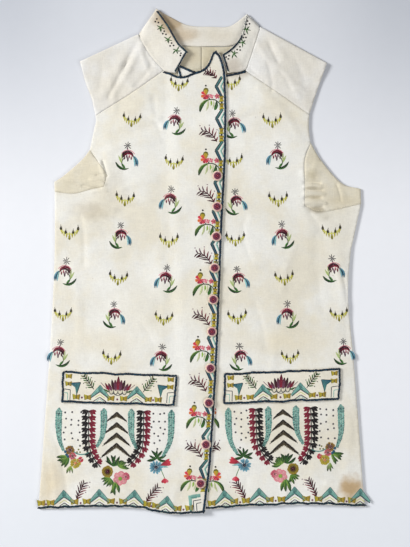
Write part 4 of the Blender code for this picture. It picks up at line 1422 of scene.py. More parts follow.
    def build(self) -> None:
        """Work everything below the flap."""
        for x, swing, length in self.ribbons:
            shares = ((0.0, 0.05), (0.0, 0.5), (0.24, 0.76), (1.0, 1.0))
            self.ribbon([(x + swing * side, -length * down) for side, down in shares])
        for x, swing, length in self.garlands:
            shares = ((0.0, 0.08), (0.0, 0.42), (0.08, 0.67), (0.46, 0.86), (1.0, 1.0))
            self.garland([(x + swing * side, -length * down) for side, down in shares])
        for y, half in self.arches:
            self.arch(y, half)
        for x, count in self.dots:
            for row in range(count):
                spot = (x + self.work.hand.uniform(-2.2, 2.2),
                        -9.0 - 9.6 * row + self.work.hand.uniform(-2.5, 2.5))
                self.work.knot(self.place.put([spot])[0], Dye.GREY, 1.5)
        self.posies()


# ---------------------------------------------------------------- the garment's parts

SILK = SilkThread("silk_thread")
UNDERARM_RIGHT_STAIN = StainOrShade(-152, 72, 16, 11, 0.35, linear(176, 164, 140))
UNDERARM_LEFT_STAIN = StainOrShade(166, 82, 30, 30, 0.2, linear(200, 190, 166))
# Painted shade in the deepest pucker trough, where the left underarm piece meets the left front.
PUCKER_PAINTED_SHADE = StainOrShade(157, 71, 13, 6, 0.6, linear(148, 136, 108))
WORKED_CREAM = linear(229, 228, 222)
WORKED_AGED = linear(217, 210, 191)
FRONT_LINEN = {
    "right": Linen("worked_linen_right", WORKED_CREAM, WORKED_AGED, stains_and_shade=(
        StainOrShade(-152, 70, 30, 17, 0.45, linear(182, 170, 146)),
        StainOrShade(-206, -310, 26, 40, 0.35, linear(206, 184, 140)),
        StainOrShade(-128, 100, 30, 46, 0.3, linear(204, 194, 170)),
        StainOrShade(-60, -60, 90, 40, 0.2, linear(226, 216, 186)),
        StainOrShade(-140, -110, 60, 24, 0.25, linear(222, 208, 172)),
    )),
    "left": Linen("worked_linen_left", WORKED_CREAM, WORKED_AGED, stains_and_shade=(
        StainOrShade(205, -313, 19, 22, 0.85, linear(178, 146, 96)),
        StainOrShade(164, 72, 34, 26, 0.25, linear(194, 184, 158)),
        # The pucker patch here is painted shade, shared with the left underarm piece.
        PUCKER_PAINTED_SHADE,
        StainOrShade(190, 50, 40, 70, 0.3, linear(214, 204, 178)),
        StainOrShade(50, 262, 20, 12, 0.5, linear(176, 160, 138)),
        StainOrShade(120, -110, 80, 22, 0.22, linear(222, 208, 172)),
    )),
}


@dataclass
class Fronts:
    """The two embroidered fronts."""

    pieces: dict[str, bpy.types.Object] = field(default_factory=dict)

    def build(self) -> None:
        """Build both fronts."""
        for side, height, rests in (("right", CLOTH.lap, ("back", "front_left_cloth")),
                                    ("left", CLOTH.front, ("back",))):
            loop = outline(f"{side}_side", f"{side}_hem", f"{side}_edge", f"{side}_neck",
                           f"{side}_shoulder_seam", f"{side}_arm_front", f"{side}_gusset_seam",
                           f"{side}_gusset_low")
            panel = CutPanel(f"front_{side}_cloth", (f"front_{side}",), loop, height, FRONT_WALL,
                             FRONT_LINEN[side], "worked_linen", rests)
            self.pieces[side] = panel.build()


class Underarms:
    """The plain, coarser pieces let in under the arms."""

    # On the left, the pucker patch and the patches at y 119, 101 and 88 are painted shade in the pucker
    # troughs; the rest are real discolouration.
    stains_and_shade = {"right": (UNDERARM_RIGHT_STAIN, StainOrShade(-146, 98, 12, 10, 0.4, linear(150, 140, 122))),
              "left": (UNDERARM_LEFT_STAIN, PUCKER_PAINTED_SHADE, StainOrShade(152, 119, 10, 11, 0.5, linear(176, 166, 138)),
                       StainOrShade(153, 101, 12, 2.8, 0.55, linear(160, 148, 120)),
                       StainOrShade(155, 88, 13, 3.6, 0.55, linear(162, 150, 122)),
                       StainOrShade(196, 84, 26, 8, 0.25, linear(196, 182, 146)))}

    def build(self) -> None:
        """Build both pieces."""
        for side, stains_and_shade in self.stains_and_shade.items():
            loop = outline(f"{side}_gusset_seam", f"{side}_gusset_low", f"{side}_gusset_side",
                           f"{side}_arm_low")
            linen = Linen(f"underarm_linen_{side}", linear(225, 221, 208), linear(211, 202, 178), 0.95,
                          0.16, 0.16,
                          0.6, stains_and_shade)
            CutPanel(f"underarm_{side}_cloth", (f"underarm_{side}",), loop, CLOTH.front, BACK_WALL, linen,
                     "coarse_linen", ("back",)).build()


class BackLining:
    """The two halves of the lining inside the neck, which meet in the middle of the back."""

    linen = Linen("lining_linen", linear(211, 206, 188), linear(195, 183, 154), 0.7, 0.1, 0.12, 0.5, (
        StainOrShade(-34, 284, 30, 22, 0.4, linear(190, 168, 128)),))

    @staticmethod
    def height(x: np.ndarray, y: np.ndarray) -> np.ndarray:
        """Middle surface of the lining."""
        return LINING_MID + Ripple(5, 14.0, 0.14)(x, y) + 0.14

    def build(self) -> None:
        """Build both halves."""
        neck = [spot for spot in line("back_neck", 6.0) if abs(spot[0]) < LINING_HALF]
        rights = [spot for spot in neck if spot[0] < -1] + [(0.0, 296.2), (0.0, LINING_LOW)]
        rights += [(-LINING_HALF, LINING_LOW), (-LINING_HALF, 300.0)]
        lefts = [(0.0, 296.2)] + [spot for spot in neck if spot[0] > 1]
        lefts += [(LINING_HALF, 301.0), (LINING_HALF, LINING_LOW), (0.0, LINING_LOW)]
        for side, loop in (("right", rights), ("left", lefts)):
            CutPanel(f"back_lining_{side}_cloth", (f"back_lining_{side}",), np.array(loop), self.height,
                     LINING_WALL, self.linen, "lining_linen", ("back",), 3.0).build()


class BackCloth:
    """The back, whose shoulders fold over to the slanting seams of the fronts."""

    linen = Linen("plain_linen", linear(229, 228, 225), linear(212, 207, 195), 0.8, 0.12, 0.14, 0.45, (
        StainOrShade(-120, 236, 30, 30, 0.2, linear(206, 198, 180)),
        StainOrShade(112, 262, 46, 26, 0.22, linear(200, 196, 186)),
        StainOrShade(152, 226, 14, 24, 0.3, linear(190, 182, 164)),
    ))

    def __init__(self) -> None:
        """Work out both fold lines."""
        self.folds = {}
        for side, ends in SHOULDER_FOLDS.items():
            neck, arm = np.array(ends, dtype=float)
            along = (arm - neck) / np.linalg.norm(arm - neck)
            outward = np.array([along[1], -along[0]])
            outward = -outward if outward[1] < 0 else outward
            self.folds[side] = (neck, along, outward, float(np.linalg.norm(arm - neck)))

    def _unfolded(self, side: str, spots: np.ndarray) -> np.ndarray:
        """Turn the shoulder piece as it lies back to the flat cut."""
        neck, along, outward, _ = self.folds[side]
        away = np.maximum(0.0, (neck - spots) @ outward)
        return neck + ((spots - neck) @ along)[:, None] * along + (away + FOLD_ARC)[:, None] * outward

    def _bend(self, side: str, at_neck: bool) -> np.ndarray:
        """Rim spots over the bend at one end of a shoulder."""
        neck, along, outward, length = self.folds[side]
        start = neck if at_neck else neck + along * length
        return start + outward * (FOLD_ARC * np.arange(1, 6) / 6)[:, None]

    def _loop(self) -> np.ndarray:
        """Flat cut of the back with both shoulders unfolded."""
        arm = {"left": np.vstack([line("left_arm_low"), line("-left_arm_front")[1:],
                                  line("-left_arm_up")[1:]]),
               "right": np.vstack([line("right_arm_up"), line("right_arm_front")[1:],
                                   line("-right_arm_low")[1:]])}
        shoulder = {"left": np.vstack([line("left_arm_up"), line("-left_shoulder_seam")[1:],
                                       line("left_neck_side")[1:]]),
                    "right": np.vstack([line("-right_neck_side"), line("right_shoulder_seam")[1:],
                                        line("-right_arm_up")[1:]])}
        side = {name: rows[rows[:, 1] > BACK_HEM + 6] for name, rows in
                (("left", line("-left_side")), ("right", line("right_side")))}
        return np.vstack([
            [(-224.3, BACK_HEM), (0.0, BACK_HEM), (224.3, BACK_HEM)],
            side["left"][:-1], line("left_gusset_side")[:-1], arm["left"],
            self._bend("left", False), self._unfolded("left", shoulder["left"]),
            self._bend("left", True)[::-1],
            line("-back_neck"),
            self._bend("right", True), self._unfolded("right", shoulder["right"]),
            self._bend("right", False)[::-1],
            arm["right"], line("-right_gusset_side")[1:], side["right"][1:],
        ])

    def _placed(self, spots: np.ndarray) -> np.ndarray:
        """Middle surface of the folded back at spots of the flat cut."""
        placed = np.column_stack([spots, np.full(len(spots), BACK_MID)])
        for neck, along, outward, _ in self.folds.values():
            past = (spots - neck) @ outward
            foot = neck + ((spots - neck) @ along)[:, None] * along
            turn = past / FOLD_RADIUS
            bending = (past > 1e-6) & (past < FOLD_ARC)
            bent = foot + (FOLD_RADIUS * np.sin(turn))[:, None] * outward
            placed[bending, 0:2] = bent[bending]
            placed[bending, 2] = (BACK_MID + FOLD_RADIUS * (1 - np.cos(turn)))[bending]
            behind = past - FOLD_ARC
            over_front = past >= FOLD_ARC
            lying = foot - behind[:, None] * outward
            low = BACK_MID + 2 * FOLD_RADIUS
            lift = low + (CLOTH.front(lying[:, 0], lying[:, 1]) - low) * smooth(behind / 30.0)
            placed[over_front, 0:2] = lying[over_front]
            placed[over_front, 2] = lift[over_front]
        return placed

    def build(self) -> None:
        loop = inset(self._loop(), SEAM_OPEN + EDGE_ROUND)
        lower = grid_spots(loop, HIDDEN_GRID)
        fine = grid_spots(loop, CLOTH_GRID)
        inner = []
        reach = {side: (lower - neck) @ outward for side, (neck, _, outward, _) in self.folds.items()}
        inner.append(lower[(reach["left"] < -6) & (reach["right"] < -6)])
        for neck, along, outward, length in self.folds.values():
            past = (fine - neck) @ outward
            inner.append(fine[past > FOLD_ARC + 2.0])
            steps = np.arange(2.0, length - 2.0, CLOTH_GRID)
            rows = FOLD_ARC * np.arange(0, 7) / 6
            inner.append((neck + steps[:, None, None] * along + rows[None, :, None] * outward).reshape(-1, 2))
        inner = np.vstack(inner)
        inner = inner[edge_distance(inner, loop) > 0.8]
        spots, faces = panel_faces(loop, inner)
        middles = self._placed(spots)
        verts, shell_faces = shell(middles, vertex_normals(middles, faces), faces, BACK_WALL)
        item = add_piece("back_cloth", verts, shell_faces, self.linen.material(), ("back",))
        wide, high = (loop.max(axis=0) - loop.min(axis=0)) * MM
        abs(loop_area(loop)) * MM * MM


class Collar:
    """The stand collar, one band that folds over at both tips."""

    linen = Linen("collar_linen", linear(227, 224, 216), linear(210, 203, 188), 0.75, 0.12, 0.13, 0.45, (
        StainOrShade(-48, 330, 26, 20, 0.75, linear(162, 136, 94)),
        StainOrShade(-30, 312, 26, 16, 0.5, linear(180, 152, 108)),
        StainOrShade(24, 312, 40, 14, 0.25, linear(190, 178, 150)),
        StainOrShade(44, 268, 14, 14, 0.45, linear(164, 150, 132)),
        StainOrShade(-62, 300, 18, 26, 0.2, linear(214, 204, 178)),
    ))
    rows = 16
    step = 3.0
    crumple = (Ripple(11, 9.0, 0.35), Ripple(12, 22.0, 0.5))

    def __init__(self) -> None:
        """Run the band's columns."""
        columns = []
        for run in (COLLAR_RIGHT_HALF, COLLAR_RIGHT_FOLD, COLLAR_BACK, COLLAR_LEFT_FOLD, COLLAR_LEFT_HALF):
            columns.append(np.array(run, dtype=float) if len(run) == 1
                           else spline(run, self.step, slice(3, 5)))
        self.starts = np.cumsum([0] + [len(part) for part in columns])
        self.columns = np.vstack(columns)
        self.item: bpy.types.Object | None = None

    def edge(self, side: str, share: float = 1.0) -> np.ndarray:
        """A line along one front half, at a share of its height from seam to edge."""
        part = (slice(self.starts[0], self.starts[1]) if side == "right"
                else slice(self.starts[4], self.starts[5]))
        rows = self.columns[part]
        return rows[:, 0:2] + (rows[:, 3:5] - rows[:, 0:2]) * share

    @staticmethod
    def _joined(seam: np.ndarray, edge: np.ndarray) -> tuple[np.ndarray, bool]:
        """Where a column of the band meets the garment.

        Args:
            seam: Its place on the neck seam.
            edge: Its place on the upper edge.

        Returns:
            The place of its seam end, and whether it butts against the shoulder there.
        """
        neck = np.vstack([line("right_neck_side", 0.5), line("left_neck_side", 0.5)])
        nearest = neck[np.argmin(np.hypot(*(neck - seam).T))]
        if math.dist(nearest, seam) < 3.6:
            return nearest + (edge - nearest) / math.dist(edge, nearest) * -0.3, True
        return seam + (seam - edge) / math.dist(edge, seam) * 1.4, False

    def build(self) -> None:
        seam, edge = self.columns[:, 0:3], self.columns[:, 3:6]
        share = np.linspace(0.0, 1.0, self.rows + 1)
        middles = seam[:, None] + (edge - seam)[:, None] * share[None, :, None]
        on_front = np.flatnonzero(seam[:, 2] > 4.4)
        for column in on_front:
            joined, at_shoulder = self._joined(seam[column, 0:2], edge[column, 0:2])
            lying = float(CLOTH.front(*joined[:, None])[0]) + (0.1 if at_shoulder else FRONT_WALL * 0.9)
            sunk = np.maximum(0.0, middles[column, :, 2] - lying) * (1.0 - smooth(share / 0.4))
            middles[column, :, 2] -= sunk
            middles[column, :, 0:2] += (joined - seam[column, 0:2]) * (1.0 - share[:, None])
        middles = middles.reshape(-1, 3)
        width = self.rows + 1
        corners = (np.arange(len(self.columns) - 1)[:, None] * width + np.arange(self.rows)).ravel()
        faces = np.vstack([np.column_stack([corners, corners + 1, corners + width]),
                           np.column_stack([corners + 1, corners + width + 1, corners + width])])
        inside = np.sin(np.pi * np.tile(share, len(self.columns))) ** 0.5
        upper = smooth((middles[:, 2] - 3.6) / 1.2)
        lower = smooth((1.9 - middles[:, 2]) / 0.6)
        puff = sum(wave(middles[:, 0], middles[:, 1]) for wave in self.crumple)
        middles[:, 2] += upper * puff * (0.35 + 0.65 * inside) + lower * (np.abs(puff) * 0.6) * inside
        verts, shell_faces = shell(middles, vertex_normals(middles, faces), faces, COLLAR_WALL - 0.1)
        self.item = add_piece("collar_cloth", verts, shell_faces, self.linen.material(), ("collar",))
        area = sum(float(np.linalg.norm(np.cross(middles[b] - middles[a], middles[c] - middles[a]))) / 2
                   for a, b, c in faces)


class PocketFlaps:
    """The two pocket flaps and the embroidery on them."""

    linen = Linen("flap_linen", linear(228, 223, 209), WORKED_AGED, stains_and_shade=(
        StainOrShade(-110, -176, 70, 12, 0.25, linear(216, 200, 160)),))
    stack = (FRONT_WALL + FLAP_WALL) / 2 + LAP_GAP
    length = 158.0
    width = 43.5

    def height(self, side: str) -> Height:
        """Middle surface of one flap, which lifts a little at its free edge."""
        below = CLOTH.lap if side == "right" else CLOTH.front

        def surface(x: np.ndarray, y: np.ndarray) -> np.ndarray:
            """Height of the flap at each place."""
            lift = smooth((-y - 172.0) / 26.0) * (0.5 + 0.35 * np.sin(x / 11.0))
            return below(x, y) + self.stack + lift

        return surface

    def _corners(self, side: str) -> np.ndarray:
        """Bottom left, bottom right, top right and top left corner as seen."""
        a, b, c, d = FLAPS[side]
        return np.array([d, c, b, a])

    def put(self, side: str, spots: Iterable[Spot]) -> np.ndarray:
        """Turn flap millimetres, along and up, into the garment's."""
        low_left, low_right, high_right, high_left = self._corners(side)
        rows = np.array(list(spots), dtype=float)
        u, v = rows[:, 0:1] / self.length, rows[:, 1:2] / self.width
        return (low_left * (1 - u) + low_right * u) * (1 - v) + (high_left * (1 - u) + high_right * u) * v

    def _loop(self, side: str) -> np.ndarray:
        """Outline of one flap, its sides a little wavy."""
        corners = self._corners(side)
        loop = []
        for number, (start, end) in enumerate(zip(corners, np.roll(corners, -1, axis=0))):
            steps = max(2, round(float(np.linalg.norm(end - start)) / LINE_STEP))
            share = np.arange(steps)[:, None] / steps
            along = (end - start) / np.linalg.norm(end - start)
            wave = (0.45 * np.sin(share * math.pi * (7 if number % 2 == 0 else 2) + number)
                    * np.sin(share * math.pi))
            loop.append(start + (end - start) * share + wave * np.array([-along[1], along[0]]))
        return np.vstack(loop)

    def _embroider(self, side: str) -> None:
        """Work the flap's arches, bows, sprays and lotus."""
        work = Needlework(f"flap_work_{side}", 41 if side == "right" else 42)
        turn = math.degrees(math.atan2(*(self.put(side, [(158, 20)]) - self.put(side, [(0, 20)]))[0][::-1]))

        def at(u: float, v: float, size: float = 1.0, more: float = 0.0, mirror: bool = False) -> Place:
            """A place on the flap."""
            x, y = self.put(side, [(u, v)])[0]
            return Place(float(x), float(y), size, turn + more, mirror)

        def put(*spots: Spot) -> np.ndarray:
            """Flap millimetres to the garment's."""
            return self.put(side, spots)

        for u in (52.9, 103.6):
            Motifs.hem_peak(work, at(u, 25.2, 1.0))
        for u, v in ((20.6, 8.4), (36.4, 8.4), (68.4, 8.0), (86.2, 8.0), (120.2, 8.0), (134.0, 8.0)):
            Motifs.bow(work, at(u, v, 1.18))
        for u, v in ((28.4, 7.8), (77.4, 6.8), (127.0, 7.4)):
            work.knot(put((u, v))[0], Dye.PLUM, 1.6)
        for u in (9.2, 149.4):
            for v in (26.2, 36.6):
                Motifs.bow(work, at(u, v, 1.05))
        for end, way in ((0.0, 1), (158.0, -1)):
            flag = put((end + way * 26, 28.6), (end + way * 10.5, 27.0), (end + way * 18.4, 21.4),
                       (end + way * 20.6, 12.4))
            work.fill(flag, Dye.TEAL, turn + 35 * way, Dye.BLUE)
            work.stem(put((end + way * 26, 28.8), (end + way * 10.5, 27.2)), Dye.NAVY, 0.9)
            work.stem(put((end + way * 26, 28.6), (end + way * 21, 12.4), (end + way * 20.4, 5.4)),
                      Dye.NAVY, 1.1)
            work.stem(put((end + way * 3.2, 19.0), (end + way * 12.0, 18.0)), Dye.NAVY, 1.0)
            work.stem(put((end + way * 12.0, 18.0), (end + way * 12.0, 3.4)), Dye.NAVY, 1.0)
            work.stem(put((end + way * 3.2, 14.0), (end + way * 8.6, 13.6), (end + way * 8.6, 3.4)),
                      Dye.PALE_TEAL, 1.0)
        for base, tip in (((44.5, 19.6), (29.6, 38.8)), ((112.6, 18.2), (126.4, 38.0))):
            self._twig(work, put(base, tip))
        self._lotus(work, put)
        self._edging(work, side)
        work.build(over(self.height(side), FLAP_WALL), SILK.material())

    @staticmethod
    def _twig(work: Needlework, ends: np.ndarray) -> None:
        """A dark green twig with small leaves and dots on both sides."""
        base, tip = ends
        along = (tip - base) / np.linalg.norm(tip - base)
        side = np.array([-along[1], along[0]])
        work.stem(ends, Dye.BLACKISH, 1.1)
        total = float(np.linalg.norm(tip - base))
        for step in range(6):
            root = base + along * total * (0.12 + 0.15 * step)
            for way in (-1, 1):
                end = root + along * 5.0 + side * way * (5.8 - 0.4 * step)
                work.leaf(np.array([root, end]), 1.9, Dye.DARK_GREEN,
                          Dye.GREEN if (step + way) % 3 else Dye.OLIVE)
                if (step + way) % 2:
                    work.knot(end + side * way * 1.6, Dye.BLACKISH, 0.8)

    @staticmethod
    def _lotus(work: Needlework, put: Callable[..., np.ndarray]) -> None:
        """The pointed maroon petals in the middle of a flap, over three small bells."""
        dyes = (Dye.CRIMSON, Dye.PLUM, Dye.MAROON, Dye.PLUM)
        for number in (0, 8, 1, 7, 2, 6, 3, 5, 4):
            share = (number - 4) / 4
            start = (77.6 + 10.5 * share, 17.6)
            tip = (77.6 + 18.0 * share, 38.6 - 9.6 * abs(share) - 2.4 * (number % 2))
            middle = ((start[0] + tip[0]) / 2, (start[1] + tip[1]) / 2 - 0.6)
            dye = dyes[number % 4]
            work.leaf(put(start, middle, tip), 5.0 - 1.6 * abs(share), dye,
                      Dye.BLACKISH if dye is Dye.MAROON else Dye.MAROON, thick=0.42)
        for start, end in (((63.0, 20.0), (53.4, 29.6)), ((92.4, 20.0), (100.4, 27.6))):
            work.stem(put(start, end), Dye.PLUM, 0.8)
        for u in (68.8, 74.8, 80.8, 86.8):
            work.fill(put((u - 3.0, 20.4), (u - 2.2, 15.6), (u, 13.8), (u + 2.2, 15.6), (u + 3.0, 20.4),
                          (u, 18.4)),
                      Dye.CREAM, 80.0, base=0.3)
            work.stem(spline(put((u - 3.2, 20.6), (u - 2.4, 15.4), (u, 13.4), (u + 2.4, 15.4),
                                 (u + 3.2, 20.6)), 1.0),
                      Dye.NAVY, 0.8, 0.4)
        work.stem(spline(put((60.6, 14.4), (66.0, 18.4), (77.6, 12.0), (89.6, 18.4), (95.4, 14.4)), 1.0),
                  Dye.NAVY, 0.8)
        for start, end in (((66, 16.4), (57.6, 20.6)), ((89.4, 16.4), (98, 19.6))):
            work.leaf(put(start, end), 2.4, Dye.GREEN, Dye.DARK_GREEN)

    def _edging(self, work: Needlework, side: str) -> None:
        """Work the blue edging round the flap."""
        ring = inset(self._loop(side), 1.5)
        work.rope(np.vstack([ring, ring[:2]]), Dye.NAVY, Dye.BLUE, 2.9, 1.05, 1.0, 0.3)

    def build(self) -> None:
        """Build both flaps."""
        for side in ("right", "left"):
            panel = CutPanel(f"pocket_flap_{side}_cloth", (f"pocket_flap_{side}",), self._loop(side),
                             self.height(side), FLAP_WALL, self.linen, "worked_linen",
                             (f"front_{side}_cloth",))
            panel.build()
            self._embroider(side)


class FrontEmbroidery:
    """Scattered sprigs, front border, hem border, pocket garlands and edging of both fronts."""

    # Columns of the scattered repeat: x and y of the top motif, step in x and y, how many, and for a
    # sprig True where its blue leaf hangs to the left
    festoons = {
        "right": ((-31, 246, -7.0, -107.5, 4), (-96, 197, -9.3, -109.0, 4), (-182, 42, -9.0, -113.0, 2)),
        "left": ((41, 248, 2.7, -107.5, 4), (97, 196, 8.3, -108.5, 4), (179, 43, 10.0, -114.0, 2)),
    }
    sprigs = {
        "right": ((-35, 191, -6.3, -108.3, 4, True), (-104, 143, -9.0, -109.0, 3, False),
                  (-186, -16, -9.0, -112.0, 2, True)),
        "left": ((43, 187, 3.0, -106.7, 4, False), (106, 144, 7.0, -109.5, 3, True),
                 (180, -12, 15.0, -114.0, 2, False)),
    }
    flowers = (226, 137, 53, -29, -121, -212, -301)
    plumes = (248, 160, 76, -9, -93, -184, -275)
    peaks = {"right": (-190, -141, -92, -47), "left": (31, 79, 128, 177, 219)}
    bows = {"right": (-221, -208, -175, -158, -125, -108, -75, -63, -33, -17),
            "left": (14, 45, 61, 94, 110, 144, 161, 192, 207)}
    feathers = {"right": (-172, -76), "left": (60, 158)}
    pockets = {"right": Place(-116.5, -199.5, 1.0, -0.8), "left": Place(111.5, -195.8, 1.0, 1.6, True)}

    def __init__(self) -> None:
        """Take the faces of both fronts."""
        self.faces = {"right": over(CLOTH.lap, FRONT_WALL), "left": over(CLOTH.front, FRONT_WALL)}
        edge = line("right_edge", 4.0)
        self.lap_edge = edge[np.argsort(edge[:, 1])]

    def _finish(self, work: Needlework, side: str, hidden: bool = False) -> None:
        """Leave out what the right front covers, and lay the rest."""
        if hidden:
            def shown(row: tuple[float, ...]) -> bool:
                """Whether a stitch lies clear of the lap or close to its edge."""
                return row[0] > float(np.interp(row[1], self.lap_edge[:, 1], self.lap_edge[:, 0])) - 10.0

            work.stitches = [row for row in work.stitches if shown(row)]
            work.knots = [row for row in work.knots if shown(row)]
        work.build(self.faces[side], SILK.material())

    def _scatter(self, side: str) -> None:
        """Work the sprigs and festoons of one front."""
        work = Needlework(f"sprigs_{side}", 7 if side == "right" else 9)
        lean = -3.0 if side == "right" else 3.0
        for x, y, across, down, count in self.festoons[side]:
            for row in range(count):
                Motifs.festoon(work, Place(x + across * row, y + down * row, work.hand.uniform(0.96, 1.04),
                                           lean + work.hand.uniform(-3, 3)))
        for x, y, across, down, count, mirror in self.sprigs[side]:
            for row in range(count):
                Motifs.sprig(work, Place(x + across * row, y + down * row, work.hand.uniform(0.95, 1.02),
                                         lean + work.hand.uniform(-3, 3), mirror))
        self._finish(work, side, side == "left")

    def _border(self, side: str) -> None:
        """Work the border down one front edge."""
        work = Needlework(f"front_border_{side}", 17 if side == "right" else 19)
        curve = line(f"{side}_edge", 4.0)
        curve = curve[np.argsort(curve[:, 1])]
        mirror = side == "left"

        def at(y: float) -> Place:
            """The place on the edging at a height."""
            x = float(np.interp(y, curve[:, 1], curve[:, 0]))
            ahead = float(np.interp(y + 12, curve[:, 1], curve[:, 0])) - x
            behind = x - float(np.interp(y - 12, curve[:, 1], curve[:, 0]))
            turn = -math.degrees(math.atan2((ahead + behind) / 2, 12.0))
            return Place(x + (2.6 if mirror else -2.6), y, 1.0, turn, mirror)

        for y in self.flowers:
            Motifs.border_flowers(work, at(y))
            for apex in (y + 14.5, y - 30.0):
                if -318 < apex < 262:
                    Motifs.edge_chevron(work, at(apex))
        for y in self.plumes:
            spot = at(y + 4.5)
            x, low = spot.put([(-11.0, 0.0)])[0]
            Motifs.spray(work, Place(float(x), float(low), 0.7 if y > 240 else 1.0, spot.turn, mirror),
                         ((0, 0), (-6, 8.5), (-13, 13.5), (-20, 14.5)), (12.5, 9.5), (50, 52))
        self._finish(work, side, mirror)

    def _hem(self, side: str) -> None:
        """Work the border along one hem."""
        work = Needlework(f"hem_border_{side}", 27 if side == "right" else 29)
        hem = line(f"{side}_hem", 4.0)
        hem = hem[np.argsort(hem[:, 0])]

        def at(x: float, up: float, size: float = 1.0, more: float = 0.0, mirror: bool = False) -> Place:
            """The place above the hem at a distance across."""
            y = float(np.interp(x, hem[:, 0], hem[:, 1]))
            rise = float(np.interp(x + 10, hem[:, 0], hem[:, 1]) - np.interp(x - 10, hem[:, 0], hem[:, 1]))
            return Place(x, y + up, size, math.degrees(math.atan2(rise, 20.0)) + more, mirror)

        for x in self.peaks[side]:
            Motifs.hem_peak(work, at(x, 24.4, 1.06))
        for x in self.bows[side]:
            Motifs.bow(work, at(x, 8.2, 1.3))
        rows = self.bows[side]
        for first, second in zip(rows, rows[1:]):
            if second - first < 18:
                work.knot(at((first + second) / 2, 6.4).put([(0, 0)])[0], Dye.PLUM, 1.6)
        for x in self.feathers[side]:
            Motifs.spray(work, at(x, 11.0, 1.0, 0.0, side == "left"), ((0, 0), (4, 10), (11, 22)),
                         (10.5, 11.0), (34, 44))
        if side == "right":
            put = at(-3.0, 3.0).put
            work.fill(put([(-14, 22), (3, 24), (3, 19), (-9, 17.6)]), Dye.TEAL, 8, Dye.PALE_TEAL)
            work.fill(put([(-14, 22), (-9, 17.6), (-10, 0), (-13, 0)]), Dye.TEAL, 0, Dye.PALE_TEAL)
            for shift in (0.0, 4.0):
                work.stem(put([(-7.4 + shift, 0.5), (-7.4 + shift, 14.6 - shift)]), Dye.NAVY, 1.0)
                work.stem(put([(-7.4 + shift, 14.6 - shift), (3.4, 15.4 - shift)]), Dye.NAVY, 1.0)
        self._finish(work, side, side == "left")

    def _pocket(self, side: str) -> None:
        """Work what hangs below one flap."""
        work = Needlework(f"pocket_garlands_{side}", 37 if side == "right" else 39)
        PocketGarlands(work, self.pockets[side]).build()
        self._finish(work, side)

    def _edging(self, side: str) -> None:
        """Work the blue edging of hem, front edge and neck."""
        work = Needlework(f"edging_{side}", 47 if side == "right" else 49)
        hem, edge, neck = (line(f"{side}_{part}", 2.5) for part in ("hem", "edge", "neck"))
        wavy = hem + np.column_stack([np.zeros(len(hem)),
                                      0.45 * np.sin(hem[:, 0] / 3.4) + 0.3 * np.sin(hem[:, 0] / 9)])
        work.rope(offset_curve(wavy, 2.0 if side == "right" else -2.0), Dye.NAVY, Dye.SLATE, 2.9, 1.05, 1.0,
                  0.3)
        work.rope(offset_curve(edge, 2.4 if side == "right" else -2.4), Dye.NAVY, Dye.BLUE, 3.2, 1.1, 1.1,
                  0.2)
        work.rope(offset_curve(neck, 1.6 if side == "right" else -1.6), Dye.NAVY, Dye.BLUE, 3.0, 1.05, 1.0,
                  0.2)
        self._finish(work, side)

    def build(self) -> None:
        """Work both fronts."""
        for side in ("right", "left"):
            self._scatter(side)
            self._border(side)
            self._hem(side)
            self._pocket(side)
            self._edging(side)


class CollarEmbroidery:
    """Blue edging, dark trefoils and small green sprigs on the outside of the collar."""

    def build(self, collar: Collar) -> None:
        """Work the collar."""
        work = Needlework("collar_work", 51)
        for side in ("right", "left"):
            work.rope(collar.edge(side, 0.955), Dye.NAVY, Dye.SLATE, 2.5, 1.05, 0.9, 0.12, 0.45)
            end = collar.columns[0 if side == "right" else -1]
            down = end[None, 0:2] + (end[None, 3:5] - end[None, 0:2]) * np.linspace(0.04, 0.96, 12)[:, None]
            inward = np.array([-1.4, 0.4]) if side == "right" else np.array([1.4, 0.4])
            work.rope(down + inward, Dye.NAVY, Dye.SLATE, 2.5, 1.05, 0.9, 0.12, 0.3)
            inner = collar.edge(side, 0.74)
            walk = np.concatenate([[0.0], np.cumsum(np.linalg.norm(np.diff(inner, axis=0), axis=1))])
            for number, at in enumerate(np.arange(5.0, walk[-1] - 3.0, 9.6)):
                here = np.array([np.interp(at, walk, inner[:, k]) for k in range(2)])
                ahead = np.array([np.interp(at + 1.0, walk, inner[:, k]) for k in range(2)])
                turn = math.degrees(math.atan2(*(ahead - here)[::-1]))
                place = Place(float(here[0]), float(here[1]), 1.0, turn)
                if number % 2:
                    Motifs.leafy_star(work, place, 5, 6.4, 30, 250, Dye.GREEN, Dye.LIGHT_GREEN)
                    work.stem(place.put([(-4.6, 1.0), (1.0, 0.2)]), Dye.DARK_GREEN, 0.8)
                else:
                    for x, y in ((-2.6, -1.0), (2.4, -1.4), (0.4, 2.4)):
                        shift = work.hand.uniform(-0.7, 0.7)
                        work.knot(place.put([(x + shift, y - shift)])[0], Dye.BLACKISH, 1.3)
        work.build(face_of(collar.item), SILK.material())


class SeamStitches:
    """Cream hand stitches along the seams."""

    seams = (("right_shoulder_seam", 1.6), ("left_shoulder_seam", -1.6), ("right_gusset_seam", 1.4),
             ("left_gusset_seam", -1.4), ("right_gusset_low", -1.4), ("left_gusset_low", 1.4))

    def build(self) -> None:
        """Work the seams."""
        work = Needlework("seam_stitches", 61)
        for name, away in self.seams:
            curve = offset_curve(line(name, 1.0), away)
            walk = np.concatenate([[0.0], np.cumsum(np.linalg.norm(np.diff(curve, axis=0), axis=1))])
            for at in np.arange(1.0, walk[-1] - 2.0, 2.3):
                ends = [np.array([np.interp(at + more, walk, curve[:, k]) for k in range(2)])
                        for more in (0.0, 1.4)]
                work.stitch(ends[0], ends[1], work.dye(Dye.CREAM), 0.5, 0.2)
        work.build(over(CLOTH.front, BACK_WALL + 0.1), SILK.material())


